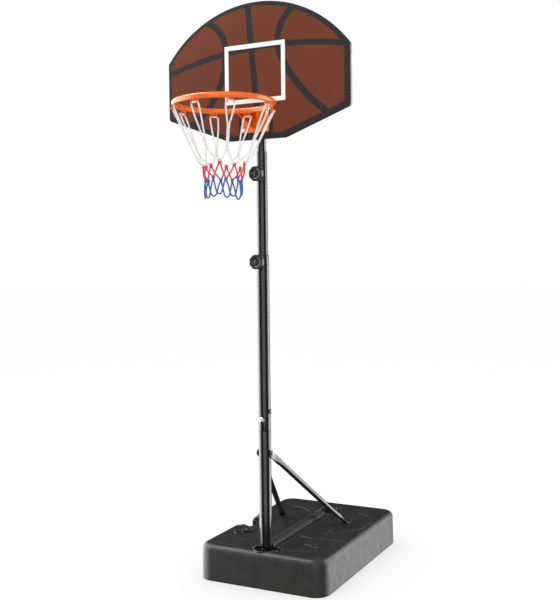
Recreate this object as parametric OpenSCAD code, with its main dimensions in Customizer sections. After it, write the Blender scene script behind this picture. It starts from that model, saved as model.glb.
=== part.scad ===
// Portable basketball hoop: water-filled base, telescopic pole, backboard, ring and net.
// Millimetres, +Z up. The origin is on the floor, on the axis of the pole.
// The board and the ring face -Y, and the base reaches back to +Y.

/* [Base] */
// Width of the base across X
base_w = 500; // [490:5:520]
// Length of the base along Y
base_l = 730; // [720:5:750]
// Height of the base
base_h = 128; // [126:1:132]
// How far the base reaches in front of the pole axis
base_front = 61; // [60:1:64]
// Corner radius of the base in plan
base_corner_r = 56; // [50:1:60]
// Radius of the rounded top edge
base_edge_r = 20; // [16:1:22]
// Wall thickness of the blow-moulded base
base_wall = 3; // [2.5:0.5:3.5]
// Length of the wheel notch in the left side
notch_l = 184; // [180:1:190]
// Depth of the wheel notch
notch_d = 72; // [70:1:76]

/* [Wheels] */
// Diameter of each wheel
wheel_d = 64; // [60:1:66]
// Width of each wheel
wheel_w = 30; // [26:1:32]
// Diameter of the wheel axle
axle_d = 10; // [8:1:12]
// Height of the axle above the floor
axle_z = 90; // [88:1:92]

/* [Pole] */
// Outside diameter of the lower tubes
lower_d = 44; // [44:1:44]
// Outside diameter of the middle tube
middle_d = 38; // [38:1:38]
// Outside diameter of the upper tube
upper_d = 32; // [32:1:32]
// Wall thickness of every tube
tube_wall = 1.2; // [1.0:0.1:1.2]
// Height of the seam between the foot tube and the lower tube
seam_z = 545; // [540:1:550]
// Height of the top of the lower tube
lower_top_z = 1160; // [1158:1:1162]
// Height of the top of the middle tube
middle_top_z = 1516; // [1514:1:1517]
// Height of the top of the upper tube
upper_top_z = 1890; // [1870:1:1900]
// Height of the struts' upper bolt
strut_z = 466; // [460:1:470]
// Distance of each strut's foot from the centre plane
strut_foot_x = 140; // [135:1:145]
// Distance of the struts' feet behind the pole axis
strut_foot_y = 418; // [415:1:425]

/* [Knobs] */
// Diameter of a knob over its lobes
knob_d = 54; // [50:1:54]
// Height of the lower knob
lower_knob_z = 1135.5; // [1135:0.5:1136]
// Height of the upper knob
upper_knob_z = 1438; // [1437:1:1440]

/* [Board] */
// Width of the board
board_w = 700; // [690:5:710]
// Distance of the board's front face from the pole axis
board_front = 40; // [40:1:40]
// Height of the board's lowest edge
board_z0 = 1554; // [1554:1:1556]
// Height where the slanted lower edges meet the sides
board_z1 = 1643; // [1640:1:1646]
// Height where the sides meet the top arc
board_z2 = 1843; // [1842:1:1850]
// Height of the top of the board
board_z3 = 2019; // [2010:1:2025]
// Width of the flat bottom edge
board_flat_w = 217; // [210:1:225]

/* [Ring] */
// Radius of the ring at the middle of its rod
ring_r = 159; // [155:1:160]
// Diameter of the ring's rod
ring_rod_d = 18; // [16:1:18]
// Height of the ring
ring_z = 1645; // [1645:1:1645]
// Distance of the ring's centre in front of the pole axis
ring_y = 255; // [250:1:256]
// Radius of the net at its bottom
net_bottom_r = 60; // [56:1:64]
// Height of the bottom of the net
net_bottom_z = 1340; // [1335:1:1345]

/* [Hidden] */
$fn = 48;
eps = 0.5;
play = 0.05;

lower_r = lower_d / 2;
middle_r = middle_d / 2;
upper_r = upper_d / 2;

base_mid_y = base_l / 2 - base_front;
base_draft = 3;
foot_chamfer = 4;

foot_pocket_r = 34;
foot_pocket_y = -12;
foot_pocket_z = 70;
pin_slot_z = 95;
pin_slot_w = 28;
foot_pin_r = 5;
foot_pin_z = pin_slot_z + foot_pin_r;
socket_z = 12;

channel_w = 56;
channel_z = 105;
tube_end_y = 475;
base_tube_z = channel_z + middle_r;
hand_pocket_w = 60;
hand_pocket_z = 60;
hand_pocket_y = [484, 574];
channel_end_y = 480;

notch_y = [base_mid_y - notch_l / 2, base_mid_y + notch_l / 2];
notch_x = -base_w / 2 + notch_d;
axle_x = -base_w / 2 + 28;
axle_seat = 20;
axle_r = axle_d / 2;

fill_pos = [-176, 120];
fill_turn = 51;
fill_hole_r = 13;
fill_shank_r = 15.5;
fill_rim_r = 18;
fill_rim_h = 5;
cap_plug_r = 12;
cap_plug_h = 4;
cap_hinge_x = fill_rim_r + 1.5;
cap_hinge_z = base_h + fill_rim_h + 2.3;
cap_open = 190;

neck_r = lower_r - tube_wall - 0.1;
neck_top_z = seam_z + 95;
neck_front_z = seam_z + 39;
neck_cross_z = seam_z + 67;
middle_low_z = 940;
upper_low_z = 1310;
hole_r = 4.1;
screw_r = 4;
collar_h = 2;
hole_pitch = 142.5;

strut_r = 10;
strut_plate_t = 4;
strut_plate_w = 24;
strut_foot_flat = 20;
strut_foot_ramp = 14;
strut_top_x = lower_r + 1.5 + strut_plate_t / 2;
strut_top = [strut_top_x, 0, strut_z];
strut_foot = [strut_foot_x, strut_foot_y, base_h + strut_plate_t / 2 + 0.1];

knob_t = 16;
knob_lobes = 8;
knob_reach = 31;

panel_t = 5;
frame_t = 15;
frame_w = 15;
frame_gap = [1772, 1813];
bar_h = 25;
bar_back = -upper_r - 0.2;
upper_bar_z = 1821;
lower_bar_z = 1672;
arc_rise = board_z3 - board_z2;
arc_r = (pow(board_w / 2, 2) + pow(arc_rise, 2)) / (2 * arc_rise);
arc_z = board_z3 - arc_r;
arc_steps = 48;

bracket_w = 105;
bracket_z = [1578, 1650];
bracket_t = 2.5;
bracket_bolts_x = 45;
bracket_bolts_z = [1587, 1641];
web_t = 3;
web_low = [8, 1590];
web_high_x = 37;
web_end_x = 44;
web_lip = 6;
ring_rod_r = ring_rod_d / 2;
ring_wall = 1.5;
hook_angles = [-3, 42, 91, 132, 177, 222, 267, 307];
hook_wire_r = 1.9;
hook_half_w = 10;
hook_bend_r = 4.5;
hook_low_z = -19;
net_top_z = ring_z - 34;
net_top_r = ring_r - 8;
net_t = 1;

// ---------- shared shapes ----------

// Cylinder centred on the origin, along X
module along_x(len, r) {
    rotate([0, 90, 0]) cylinder(h = len, r = r, center = true);
}

// Cylinder that starts at the origin and runs to +Y
module along_y(len, r) {
    rotate([-90, 0, 0]) cylinder(h = len, r = r);
}

// Cylinder whose end faces are centred on two points
module rod(a, b, r) {
    v = b - a;
    translate(a) rotate([0, acos(v.z / norm(v)), atan2(v.y, v.x)]) cylinder(h = norm(v), r = r);
}

// Tube standing on z0
module pipe(z0, z1, r_out, r_in) {
    translate([0, 0, z0]) difference() {
        cylinder(h = z1 - z0, r = r_out);
        translate([0, 0, -eps]) cylinder(h = z1 - z0 + 2 * eps, r = r_in);
    }
}

// Domed bolt head whose flat side lies on the XY plane
module dome(r, h) {
    ball_r = (r * r + h * h) / (2 * h);
    intersection() {
        translate([0, 0, h - ball_r]) sphere(r = ball_r);
        cylinder(h = h, r = r);
    }
}

// Hexagonal prism, width across flats
module hexagon(flats, h) {
    cylinder(h = h, r = flats / sqrt(3), $fn = 6);
}

// Hexagonal nut with its bore
module nut(flats, h, bore_r) {
    difference() {
        hexagon(flats, h);
        translate([0, 0, -eps]) cylinder(h = h + 2 * eps, r = bore_r);
    }
}

// ---------- base ----------

// Half section of the tank's rounded corner, shrunk by an inset
function corner_section(inset) =
    let (r0 = base_corner_r - inset,
         r1 = r0 - base_draft,
         e = base_edge_r - inset,
         z0 = inset,
         z1 = base_h - inset)
    concat([[0, z0], [r0 - foot_chamfer, z0], [r0, z0 + foot_chamfer]],
           [for (a = [0:15:90]) [r1 - e + e * cos(a), z1 - e + e * sin(a)]],
           [[0, z1]]);

module tank_block(inset) {
    x = base_w / 2 - base_corner_r;
    y = base_l / 2 - base_corner_r;
    translate([0, base_mid_y, 0]) hull()
        for (i = [-1, 1], j = [-1, 1])
            translate([i * x, j * y, 0]) rotate_extrude() polygon(corner_section(inset));
}

// Pockets in the tank, and the same grown by a wall to leave material around them
module tank_pockets(grow) {
    up = base_h + 10;
    translate([0, foot_pocket_y, foot_pocket_z - grow]) cylinder(h = up, r = foot_pocket_r + grow);
    translate([-44 - grow, -pin_slot_w / 2 - grow, pin_slot_z - grow])
        cube([102 + 2 * grow, pin_slot_w + 2 * grow, up]);
    translate([0, 0, socket_z - grow]) cylinder(h = up, r = lower_r + 0.3 + grow);
    translate([-channel_w / 2 - grow, 0, channel_z - grow])
        cube([channel_w + 2 * grow, channel_end_y + grow, up]);
    translate([-hand_pocket_w / 2 - grow, hand_pocket_y[0] - grow, hand_pocket_z - grow])
        cube([hand_pocket_w + 2 * grow, hand_pocket_y[1] - hand_pocket_y[0] + 2 * grow, up]);
    translate([-base_w / 2 - 20, notch_y[0] - grow, -1])
        cube([notch_d + 20 + grow, notch_l + 2 * grow, up]);
}

// Solid material that holds the axle ends and the two threaded inserts
module tank_solids() {
    for (y = [notch_y[0] - axle_seat - 4, notch_y[1] - 1])
        translate([-base_w / 2, y, axle_z - 14]) cube([44, axle_seat + 5, 28]);
    for (s = [-1, 1])
        translate([s * strut_foot_x, strut_foot_y, base_h - 24]) cylinder(h = 24, r = 11);
}

module base_tank() color([0.09, 0.09, 0.095]) difference() {
    tank_block(0);
    tank_pockets(0);
    difference() {
        tank_block(base_wall);
        tank_pockets(base_wall);
        tank_solids();
    }
    translate([fill_pos.x, fill_pos.y, base_h - 10]) cylinder(h = 30, r = fill_shank_r);
    translate([axle_x, notch_y[0] - axle_seat, axle_z])
        along_y(notch_l + 2 * axle_seat, axle_r + play);
    translate([axle_x - 40, notch_y[0] - axle_seat, axle_z - axle_r])
        cube([40, notch_l + 2 * axle_seat, axle_d]);
    for (s = [-1, 1])
        translate([s * strut_foot_x, strut_foot_y, base_h - 18]) cylinder(h = 20, r = 6);
}

module tank_inserts() color([0.75, 0.62, 0.3])
    for (s = [-1, 1])
        translate([s * strut_foot_x, strut_foot_y, 0]) pipe(base_h - 18, base_h, 6, screw_r);

// The cap's own frame: +X points from the filler hole to the open cap
module at_filler() {
    translate([fill_pos.x, fill_pos.y, 0]) rotate([0, 0, fill_turn]) children();
}

// Collar pressed into the tank's hole, with the two lugs and the pin that the cap turns on
module fill_collar() color([0.09, 0.09, 0.095]) at_filler() {
    pipe(base_h - base_wall, base_h, fill_shank_r, fill_hole_r);
    pipe(base_h, base_h + fill_rim_h, fill_rim_r, fill_hole_r);
    for (s = [-1, 1])
        translate([cap_hinge_x - 4, s * 6.5 - 1, base_h]) cube([6.5, 2, fill_rim_h + 4.3]);
    translate([cap_hinge_x, -6.5, cap_hinge_z]) along_y(13, 1);
}

module fill_cap() color([0.09, 0.09, 0.095]) at_filler()
    translate([cap_hinge_x, 0, cap_hinge_z]) rotate([0, cap_open, 0])
        translate([-cap_hinge_x, 0, -cap_hinge_z]) difference() {
            union() {
                translate([0, 0, base_h + fill_rim_h + 0.2]) cylinder(h = 3, r = 14.5);
                translate([0, 0, base_h + fill_rim_h - cap_plug_h])
                    cylinder(h = cap_plug_h + 1, r = cap_plug_r);
                translate([10, -4, base_h + fill_rim_h + 1]) cube([cap_hinge_x - 10, 8, 2.2]);
                translate([cap_hinge_x, -4.8, cap_hinge_z]) along_y(9.6, 2.1);
            }
            translate([0, 0, base_h + fill_rim_h - cap_plug_h - eps])
                cylinder(h = cap_plug_h, r = cap_plug_r - 2);
            translate([cap_hinge_x, -10, cap_hinge_z]) along_y(20, 1 + play);
        }

module wheel_axle() color([0.7, 0.7, 0.72])
    translate([axle_x, notch_y[0] - axle_seat + 0.5, axle_z])
        along_y(notch_l + 2 * axle_seat - 1, axle_r);

module axle_spacer() color([0.09, 0.09, 0.095])
    translate([axle_x, notch_y[0] + wheel_w + 3.6, axle_z]) difference() {
        along_y(notch_l - 2 * wheel_w - 7.2, 8);
        translate([0, -eps, 0]) along_y(notch_l, axle_r + play);
    }

module wheel(y) {
    dish = 6;
    color([0.08, 0.08, 0.085]) translate([axle_x, y, axle_z]) difference() {
        along_y(wheel_w, wheel_d / 2);
        translate([0, -eps, 0]) along_y(wheel_w + 2 * eps, axle_r + play);
        for (y0 = [-eps, wheel_w - dish + eps]) translate([0, y0, 0]) difference() {
            along_y(dish, wheel_d / 2 - 9);
            translate([0, -eps, 0]) along_y(dish + 2 * eps, 11);
        }
    }
}

module wheel_front() wheel(notch_y[0] + 3);
module wheel_rear() wheel(notch_y[1] - 3 - wheel_w);

// ---------- parts that hold the pole to the base ----------

module base_tube() color([0.05, 0.05, 0.055]) difference() {
    translate([0, 0, base_tube_z]) along_y(tube_end_y, middle_r);
    translate([0, 0, base_tube_z]) along_y(tube_end_y + eps, middle_r - tube_wall);
    cylinder(h = base_h + 40, r = lower_r);
}

module base_tube_cap() color([0.09, 0.09, 0.095]) translate([0, 0, base_tube_z]) {
    translate([0, tube_end_y, 0]) along_y(3, middle_r);
    translate([0, tube_end_y - 15, 0]) along_y(16, middle_r - tube_wall);
}

module tube_clip() color([0.07, 0.07, 0.07]) {
    width = 36;
    side = middle_r + 1.6;
    translate([0, 365, base_tube_z]) difference() {
        union() {
            along_y(width, side);
            translate([-side, 0, 0.2 - middle_r]) cube([2 * side, width, middle_r - 0.2]);
        }
        translate([0, -eps, 0]) along_y(width + 2 * eps, middle_r);
        translate([-middle_r, -eps, -2 * middle_r]) cube([middle_d, width + 2 * eps, 2 * middle_r]);
        translate([-2 * side, -eps, -2 * side - middle_r + 0.2])
            cube([4 * side, width + 2 * eps, 2 * side]);
    }
}

module tube_insert() color([0.6, 0.6, 0.6])
    translate([0, 40, base_tube_z]) difference() {
        along_y(8, middle_r - tube_wall);
        translate([0, -eps, 0]) along_y(10, screw_r);
    }

module foot_bolt() color([0.05, 0.05, 0.055]) translate([0, -lower_r, base_tube_z]) {
    along_y(lower_r + 55, screw_r);
    rotate([90, 0, 0]) dome(10, 5);
}

module foot_pin() color([0.06, 0.06, 0.06]) translate([0, 0, foot_pin_z]) {
    translate([6, 0, 0]) along_x(96, foot_pin_r);
    translate([54, 0, 0]) rotate([0, 90, 0]) dome(foot_pin_r, 2.5);
}

module foot_plug() color([0.09, 0.09, 0.095]) {
    translate([0, 0, socket_z + 0.2]) cylinder(h = 2.8, r = lower_r);
    translate([0, 0, socket_z + 2]) cylinder(h = 16, r = lower_r - tube_wall);
}

module pole_foot() color([0.04, 0.04, 0.045]) difference() {
    union() {
        translate([0, 0, socket_z + 3]) cylinder(h = seam_z - socket_z - 3, r = lower_r);
        cylinder(h = neck_top_z, r = neck_r);
    }
    translate([0, 0, -eps]) cylinder(h = socket_z + 3 + eps, r = lower_r + 1);
    cylinder(h = seam_z - 5, r = lower_r - tube_wall);
    cylinder(h = neck_top_z + 1, r = neck_r - tube_wall);
    translate([0, 0, foot_pin_z]) along_x(60, foot_pin_r);
    translate([0, -30, base_tube_z]) along_y(60, screw_r);
    translate([0, 0, strut_z]) along_x(60, screw_r);
    translate([0, 0, neck_cross_z]) along_x(60, screw_r);
    translate([0, -30, neck_front_z]) along_y(60, screw_r);
}

// ---------- struts ----------

// One strut: round tube with a flattened eye at each end, for the +X side
module strut() {
    fall = strut_foot - strut_top;
    lean = atan2(-fall.z, fall.y);
    turn = atan2(fall.y, fall.x);
    top_end = strut_top + 28 * [0, cos(lean), -sin(lean)];
    bend = strut_foot - strut_foot_flat * [cos(turn), sin(turn), 0];
    along = (bend - top_end) / norm(bend - top_end);
    foot_end = bend - strut_foot_ramp * along;
    ramp_turn = atan2(-along.y, -along.x);
    ramp_rise = asin(-along.z);
    color([0.05, 0.05, 0.055]) difference() {
        union() {
            translate(strut_top) rotate([-lean, 0, 0]) rotate([0, 90, 0])
                linear_extrude(strut_plate_t, center = true) {
                    circle(r = strut_plate_w / 2);
                    translate([-strut_plate_w / 2, 0]) square([strut_plate_w, 29]);
                }
            translate(strut_foot) rotate([0, 0, turn + 180])
                linear_extrude(strut_plate_t, center = true) {
                    circle(r = strut_plate_w / 2);
                    translate([0, -strut_plate_w / 2]) square([strut_foot_flat, strut_plate_w]);
                }
            translate(bend) rotate([0, 0, ramp_turn]) {
                translate([0, -strut_plate_w / 2, 0]) along_y(strut_plate_w, strut_plate_t / 2);
                rotate([0, -ramp_rise, 0]) translate([0, -strut_plate_w / 2, -strut_plate_t / 2])
                    cube([strut_foot_ramp + 3, strut_plate_w, strut_plate_t]);
            }
            difference() {
                rod(top_end, foot_end, strut_r);
                rod(top_end - along, foot_end + along, strut_r - tube_wall);
            }
        }
        translate(strut_top) along_x(20, screw_r);
        translate([strut_foot.x, strut_foot.y, base_h - 10]) cylinder(h = 30, r = screw_r);
    }
}

module strut_right() strut();
module strut_left() mirror([1, 0, 0]) strut();

strut_out = strut_top_x + strut_plate_t / 2;

module strut_bolt() color([0.05, 0.05, 0.055]) translate([0, 0, strut_z]) {
    translate([4, 0, 0]) along_x(2 * strut_out + 8, screw_r);
    translate([-strut_out, 0, 0]) rotate([0, -90, 0]) dome(10, 3);
}

module strut_nut() color([0.8, 0.8, 0.82])
    translate([strut_out, 0, strut_z]) rotate([0, 90, 0]) nut(13, 6.5, screw_r);

module strut_washers() color([0.06, 0.06, 0.06])
    for (s = [-1, 1]) translate([s * (lower_r + 0.8), 0, strut_z]) difference() {
        along_x(1.4, 10);
        along_x(5, screw_r);
    }

module strut_foot_bolts() color([0.05, 0.05, 0.055])
    for (s = [-1, 1]) translate([s * strut_foot_x, strut_foot_y, 0]) {
        translate([0, 0, base_h - 16]) cylinder(h = 22, r = screw_r);
        translate([0, 0, strut_foot.z + strut_plate_t / 2]) dome(8, 4);
    }

// ---------- lower tube and its fasteners ----------

module pole_lower() color([0.04, 0.04, 0.045]) difference() {
    pipe(seam_z, lower_top_z - collar_h, lower_r, lower_r - tube_wall);
    translate([0, 0, neck_cross_z]) along_x(60, screw_r);
    translate([0, -30, neck_front_z]) along_y(60, screw_r);
    translate([0, -30, lower_knob_z]) along_y(30, screw_r);
}

module neck_cross_bolt() color([0.8, 0.8, 0.82]) translate([0, 0, neck_cross_z]) {
    translate([4, 0, 0]) along_x(2 * lower_r + 14, screw_r);
    translate([-lower_r, 0, 0]) rotate([0, -90, 0]) dome(7.5, 5);
}

module neck_cross_nut() color([0.8, 0.8, 0.82])
    translate([lower_r + 0.2, 0, neck_cross_z]) rotate([0, 90, 0]) nut(15, 7.5, screw_r);

module neck_front_bolt() color([0.8, 0.8, 0.82]) translate([0, 0, neck_front_z]) {
    translate([0, -lower_r, 0]) along_y(2 * lower_r + 12, screw_r);
    translate([0, -lower_r, 0]) rotate([90, 0, 0]) dome(10, 5.5);
}

module neck_front_nut() color([0.8, 0.8, 0.82])
    translate([0, lower_r + 0.2, neck_front_z]) rotate([-90, 0, 0]) nut(13, 7, screw_r);

module lower_bush() color([0.06, 0.06, 0.06]) {
    pipe(lower_top_z - 18, lower_top_z - collar_h, lower_r - tube_wall, middle_r + 0.1);
    pipe(lower_top_z - collar_h, lower_top_z, lower_r, middle_r + 0.1);
}

// Threaded boss welded on the front of a tube
module knob_boss(tube_r, z) {
    color([0.04, 0.04, 0.045]) translate([0, 0, z]) difference() {
        translate([0, -tube_r - 8, 0]) along_y(12, 10);
        translate([0, 0, -20]) cylinder(h = 40, r = tube_r);
        translate([0, -tube_r - 9, 0]) along_y(20, screw_r);
    }
}

module lower_knob_boss() knob_boss(lower_r, lower_knob_z);
module upper_knob_boss() knob_boss(middle_r, upper_knob_z);

// ---------- knobs ----------

module knob(tube_r, z) {
    lobe_r = 7.5;
    hub_len = knob_reach - knob_t - 8.6;
    color([0.05, 0.05, 0.05]) translate([0, -tube_r - knob_reach, z]) difference() {
        union() {
            rotate([-90, 0, 0]) linear_extrude(knob_t) {
                circle(r = knob_d / 2 - 4);
                for (i = [0:knob_lobes - 1])
                    rotate(360 / knob_lobes * (i + 0.5)) translate([knob_d / 2 - lobe_r, 0])
                        circle(r = lobe_r);
            }
            translate([0, knob_t - eps, 0]) along_y(hub_len + eps, 13);
        }
        translate([0, -eps, 0]) along_y(3, 17);
        translate([0, 6, 0]) along_y(60, screw_r);
    }
}

// Screw of a knob; its tip stops just short of the tube that it clamps
module knob_screw(tube_r, tip_r, z) {
    reach = tube_r + knob_reach - 6;
    color([0.7, 0.7, 0.72]) translate([0, -reach, z])
        along_y(reach - tip_r - 0.4, screw_r - play);
}

module knob_lower() knob(lower_r, lower_knob_z);
module knob_lower_screw() knob_screw(lower_r, middle_r, lower_knob_z);
module knob_upper() knob(middle_r, upper_knob_z);
module knob_upper_screw() knob_screw(middle_r, upper_r, upper_knob_z);

// ---------- middle and upper tubes ----------

module pole_middle() color([0.04, 0.04, 0.045]) difference() {
    pipe(middle_low_z, middle_top_z - collar_h, middle_r, middle_r - tube_wall);
    for (i = [0, 1])
        translate([0, -30, lower_knob_z + i * hole_pitch]) along_y(30, hole_r);
    translate([0, -30, upper_knob_z]) along_y(30, screw_r);
}

// Plastic shoe at the lower end of a sliding tube
module glide(z, r_out, tube_r) {
    color([0.06, 0.06, 0.06]) difference() {
        translate([0, 0, z - 5]) cylinder(h = 35, r = r_out);
        translate([0, 0, z]) cylinder(h = 40, r = tube_r);
        translate([0, 0, z - 10]) cylinder(h = 40, r = tube_r - 3);
    }
}

module middle_glide() glide(middle_low_z, lower_r - tube_wall - 0.1, middle_r);
module upper_glide() glide(upper_low_z, middle_r - tube_wall - 0.1, upper_r);

module upper_bush() color([0.06, 0.06, 0.06]) {
    pipe(middle_top_z - 54, middle_top_z - collar_h, middle_r - tube_wall, upper_r + 0.1);
    pipe(middle_top_z - collar_h, middle_top_z, middle_r, upper_r + 0.1);
}

module pole_upper() color([0.04, 0.04, 0.045])
    pipe(upper_low_z, upper_top_z - 4, upper_r, upper_r - tube_wall);

module pole_top_cap() color([0.06, 0.06, 0.06]) {
    translate([0, 0, upper_top_z - 20]) cylinder(h = 17, r = upper_r - tube_wall);
    translate([0, 0, upper_top_z - 4]) dome(upper_r, 4);
}

// ---------- backboard ----------

slant = atan2(board_z1 - board_z0, (board_w - board_flat_w) / 2);

// Points of a rounded corner at b, between the edges from a and to c
function round_corner(a, b, c, r, n = 6) =
    let (u = (a - b) / norm(a - b),
         v = (c - b) / norm(c - b),
         half = acos(u * v) / 2,
         mid = (u + v) / norm(u + v),
         centre = b + mid * r / sin(half),
         start = b + u * r / tan(half) - centre,
         sweep = 180 - 2 * half,
         way = u.x * v.y - u.y * v.x > 0 ? -1 : 1)
    [for (i = [0:n]) let (t = way * sweep * i / n)
        centre + [start.x * cos(t) - start.y * sin(t), start.x * sin(t) + start.y * cos(t)]];

// Outline of the board in X and Z, moved inwards by d
function board_outline(d) =
    let (x = board_w / 2 - d,
         x_flat = board_flat_w / 2 - d * tan(slant / 2),
         z_low = board_z0 + d,
         z_side = z_low + (x - x_flat) * tan(slant),
         r = arc_r - d,
         reach = asin(x / r),
         z_arc = arc_z + sqrt(r * r - x * x),
         corner = max(14 - d / 2, 2),
         right = concat(
             round_corner([0, z_low], [x_flat, z_low], [x, z_side], corner),
             round_corner([x_flat, z_low], [x, z_side], [x, z_arc], corner),
             round_corner([x, z_side], [x, z_arc],
                          [r * sin(reach - 4), arc_z + r * cos(reach - 4)], corner)),
         arc = [for (i = [2:arc_steps - 2])
                    let (a = reach - 2 * reach * i / arc_steps)
                    [r * sin(a), arc_z + r * cos(a)]],
         left = [for (i = [len(right) - 1:-1:0]) [-right[i].x, right[i].y]])
    concat(right, arc, left);

// Extrudes an X-Z outline from one Y to another
module slab(y0, y1) {
    translate([0, y1, 0]) rotate([90, 0, 0]) linear_extrude(y1 - y0) children();
}

panel_back = -board_front + panel_t;
frame_back = panel_back + frame_t;

// The screws that hold the panel on its frame, as X-Z points
screw_arc_r = arc_r - 1.5 - frame_w / 2;
screw_side_x = board_w / 2 - 1.5 - frame_w / 2;
screw_slant_z = board_z0 + 9 + (230 - board_flat_w / 2) * tan(slant) + 1;
screw_points = concat(
    [for (s = [-1, 1]) [s * screw_side_x, 1710]],
    [for (s = [-1, 1]) [s * 230, screw_slant_z]],
    [for (a = [-42, -15, 15, 42]) [screw_arc_r * sin(a), arc_z + screw_arc_r * cos(a)]]);

module screw_shanks(r) {
    for (p = screw_points) translate([p.x, panel_back - 3, p.y]) along_y(frame_t + 3, r);
}

module board_panel() color([0.45, 0.25, 0.2]) difference() {
    slab(-board_front, panel_back) polygon(board_outline(0));
    for (x = [-1, 1], z = bracket_bolts_z)
        translate([x * bracket_bolts_x, -60, z]) along_y(40, 3);
    screw_shanks(2);
}

module frame_ring(inset, width, y0, y1) {
    slab(y0, y1) difference() {
        polygon(board_outline(inset));
        polygon(board_outline(inset + width));
    }
}

module frame_tube(z0, z1) {
    color([0.05, 0.05, 0.055]) intersection() {
        difference() {
            frame_ring(1.5, frame_w, panel_back, frame_back);
            frame_ring(1.5 + tube_wall, frame_w - 2 * tube_wall,
                       panel_back + tube_wall, frame_back - tube_wall);
            screw_shanks(2);
        }
        translate([-board_w, -100, z0]) cube([2 * board_w, 200, z1 - z0]);
    }
}

module board_frame_upper() frame_tube(frame_gap[1], board_z3 + 10);
module board_frame_lower() frame_tube(board_z0 - 10, frame_gap[0]);

module frame_joiners() color([0.03, 0.03, 0.03]) intersection() {
    frame_ring(1.5 + tube_wall, frame_w - 2 * tube_wall,
               panel_back + tube_wall, frame_back - tube_wall);
    translate([-board_w, -100, frame_gap[0] - 12])
        cube([2 * board_w, 200, frame_gap[1] - frame_gap[0] + 24]);
}

module crossbar(z) {
    half = board_w / 2 - 1.5 - frame_w;
    depth = bar_back - panel_back;
    color([0.05, 0.05, 0.055]) difference() {
        translate([-half, panel_back, z - bar_h / 2]) cube([2 * half, depth, bar_h]);
        translate([-half - eps, panel_back + tube_wall, z - bar_h / 2 + tube_wall])
            cube([2 * (half + eps), depth - 2 * tube_wall, bar_h - 2 * tube_wall]);
        for (x = [-1, 1]) translate([x * 30, bar_back - 6, z]) along_y(8, 3);
    }
}

module crossbar_upper() crossbar(upper_bar_z);
module crossbar_lower() crossbar(lower_bar_z);

module pole_clamps() color([0.05, 0.05, 0.055])
    for (z = [lower_bar_z, upper_bar_z]) translate([0, 0, z]) difference() {
        translate([0, 0, -10]) linear_extrude(20) difference() {
            union() {
                circle(r = upper_r + 2.5);
                translate([-upper_r - 2.5, bar_back]) square([upper_d + 5, -bar_back]);
                translate([-40, bar_back]) square([80, 2.5]);
            }
            circle(r = upper_r);
            translate([-upper_r, bar_back - 10]) square([upper_d, -bar_back + 10]);
            translate([-30, bar_back - 10]) square([60, 10]);
        }
        for (x = [-1, 1]) translate([x * 30, bar_back - 6, 0]) along_y(12, 3);
    }

module clamp_bolts() color([0.75, 0.75, 0.77])
    for (z = [lower_bar_z, upper_bar_z], x = [-30, 30]) translate([x, bar_back, z]) {
        translate([0, -12, 0]) along_y(15, 3);
        translate([0, 2.5, 0]) rotate([-90, 0, 0]) hexagon(10, 4);
    }

module panel_screws() color([0.75, 0.75, 0.77]) {
    screw_shanks(2);
    for (p = screw_points) translate([p.x, frame_back, p.y]) rotate([-90, 0, 0]) dome(4, 2.4);
}

// ---------- ring ----------

module bolt_holes(y0, len) {
    for (x = [-1, 1], z = bracket_bolts_z)
        translate([x * bracket_bolts_x, y0, z]) along_y(len, 3);
}

module ring_backplate() color([0.05, 0.05, 0.055]) difference() {
    translate([-60, panel_back, board_z0 + 1.5 + frame_w])
        cube([120, 2.5, lower_bar_z - bar_h / 2 - board_z0 - 1.5 - frame_w]);
    bolt_holes(-60, 60);
}

// Flat sheet with the given corners, thickened on one side
module sheet(points, t) {
    n = len(points);
    normal = cross(points[1] - points[0], points[2] - points[0]);
    shift = t * normal / norm(normal);
    polyhedron(concat(points, [for (p = points) p + shift]),
               concat([[for (i = [0:n - 1]) i]],
                      [[for (i = [0:n - 1]) 2 * n - 1 - i]],
                      [for (i = [0:n - 1]) let (j = (i + 1) % n) [i, i + n, j + n, j]]));
}

// Plate on the board, a tongue that reaches the ring, and a web on each side that slants inwards
module ring_bracket() color([0.95, 0.4, 0.13]) {
    end_y = -ring_y + ring_r - 7;
    root_y = -board_front - 1;
    slope = (web_high_x - web_low.x) / (ring_z - web_low.y);
    difference() {
        translate([-bracket_w / 2, -board_front - bracket_t, bracket_z[0]])
            cube([bracket_w, bracket_t, bracket_z[1] - bracket_z[0]]);
        bolt_holes(-60, 60);
    }
    difference() {
        union() {
            translate([0, 0, ring_z - web_t / 2]) linear_extrude(web_t)
                polygon([[-web_high_x - 1, root_y], [web_high_x + 1, root_y],
                         [web_end_x + 1, end_y], [-web_end_x - 1, end_y]]);
            for (m = [0, 1]) mirror([m, 0, 0])
                sheet([[web_low.x, root_y, web_low.y],
                       [web_end_x - web_lip * slope, end_y, ring_z - web_lip],
                       [web_end_x, end_y, ring_z],
                       [web_high_x, root_y, ring_z]], web_t);
        }
        translate([0, -ring_y, ring_z - 20]) cylinder(h = 40, r = ring_r + 4, $fn = 96);
    }
}

module bracket_bolts() color([0.8, 0.8, 0.82]) {
    bolt_holes(-board_front - bracket_t, board_front + bracket_t - 24);
    for (x = [-1, 1], z = bracket_bolts_z)
        translate([x * bracket_bolts_x, -board_front - bracket_t, z]) rotate([90, 0, 0])
            hexagon(10, 4);
}

module bracket_nuts() color([0.8, 0.8, 0.82])
    for (x = [-1, 1], z = bracket_bolts_z)
        translate([x * bracket_bolts_x, panel_back + 2.5, z]) rotate([-90, 0, 0]) nut(10, 5, 3);

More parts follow.
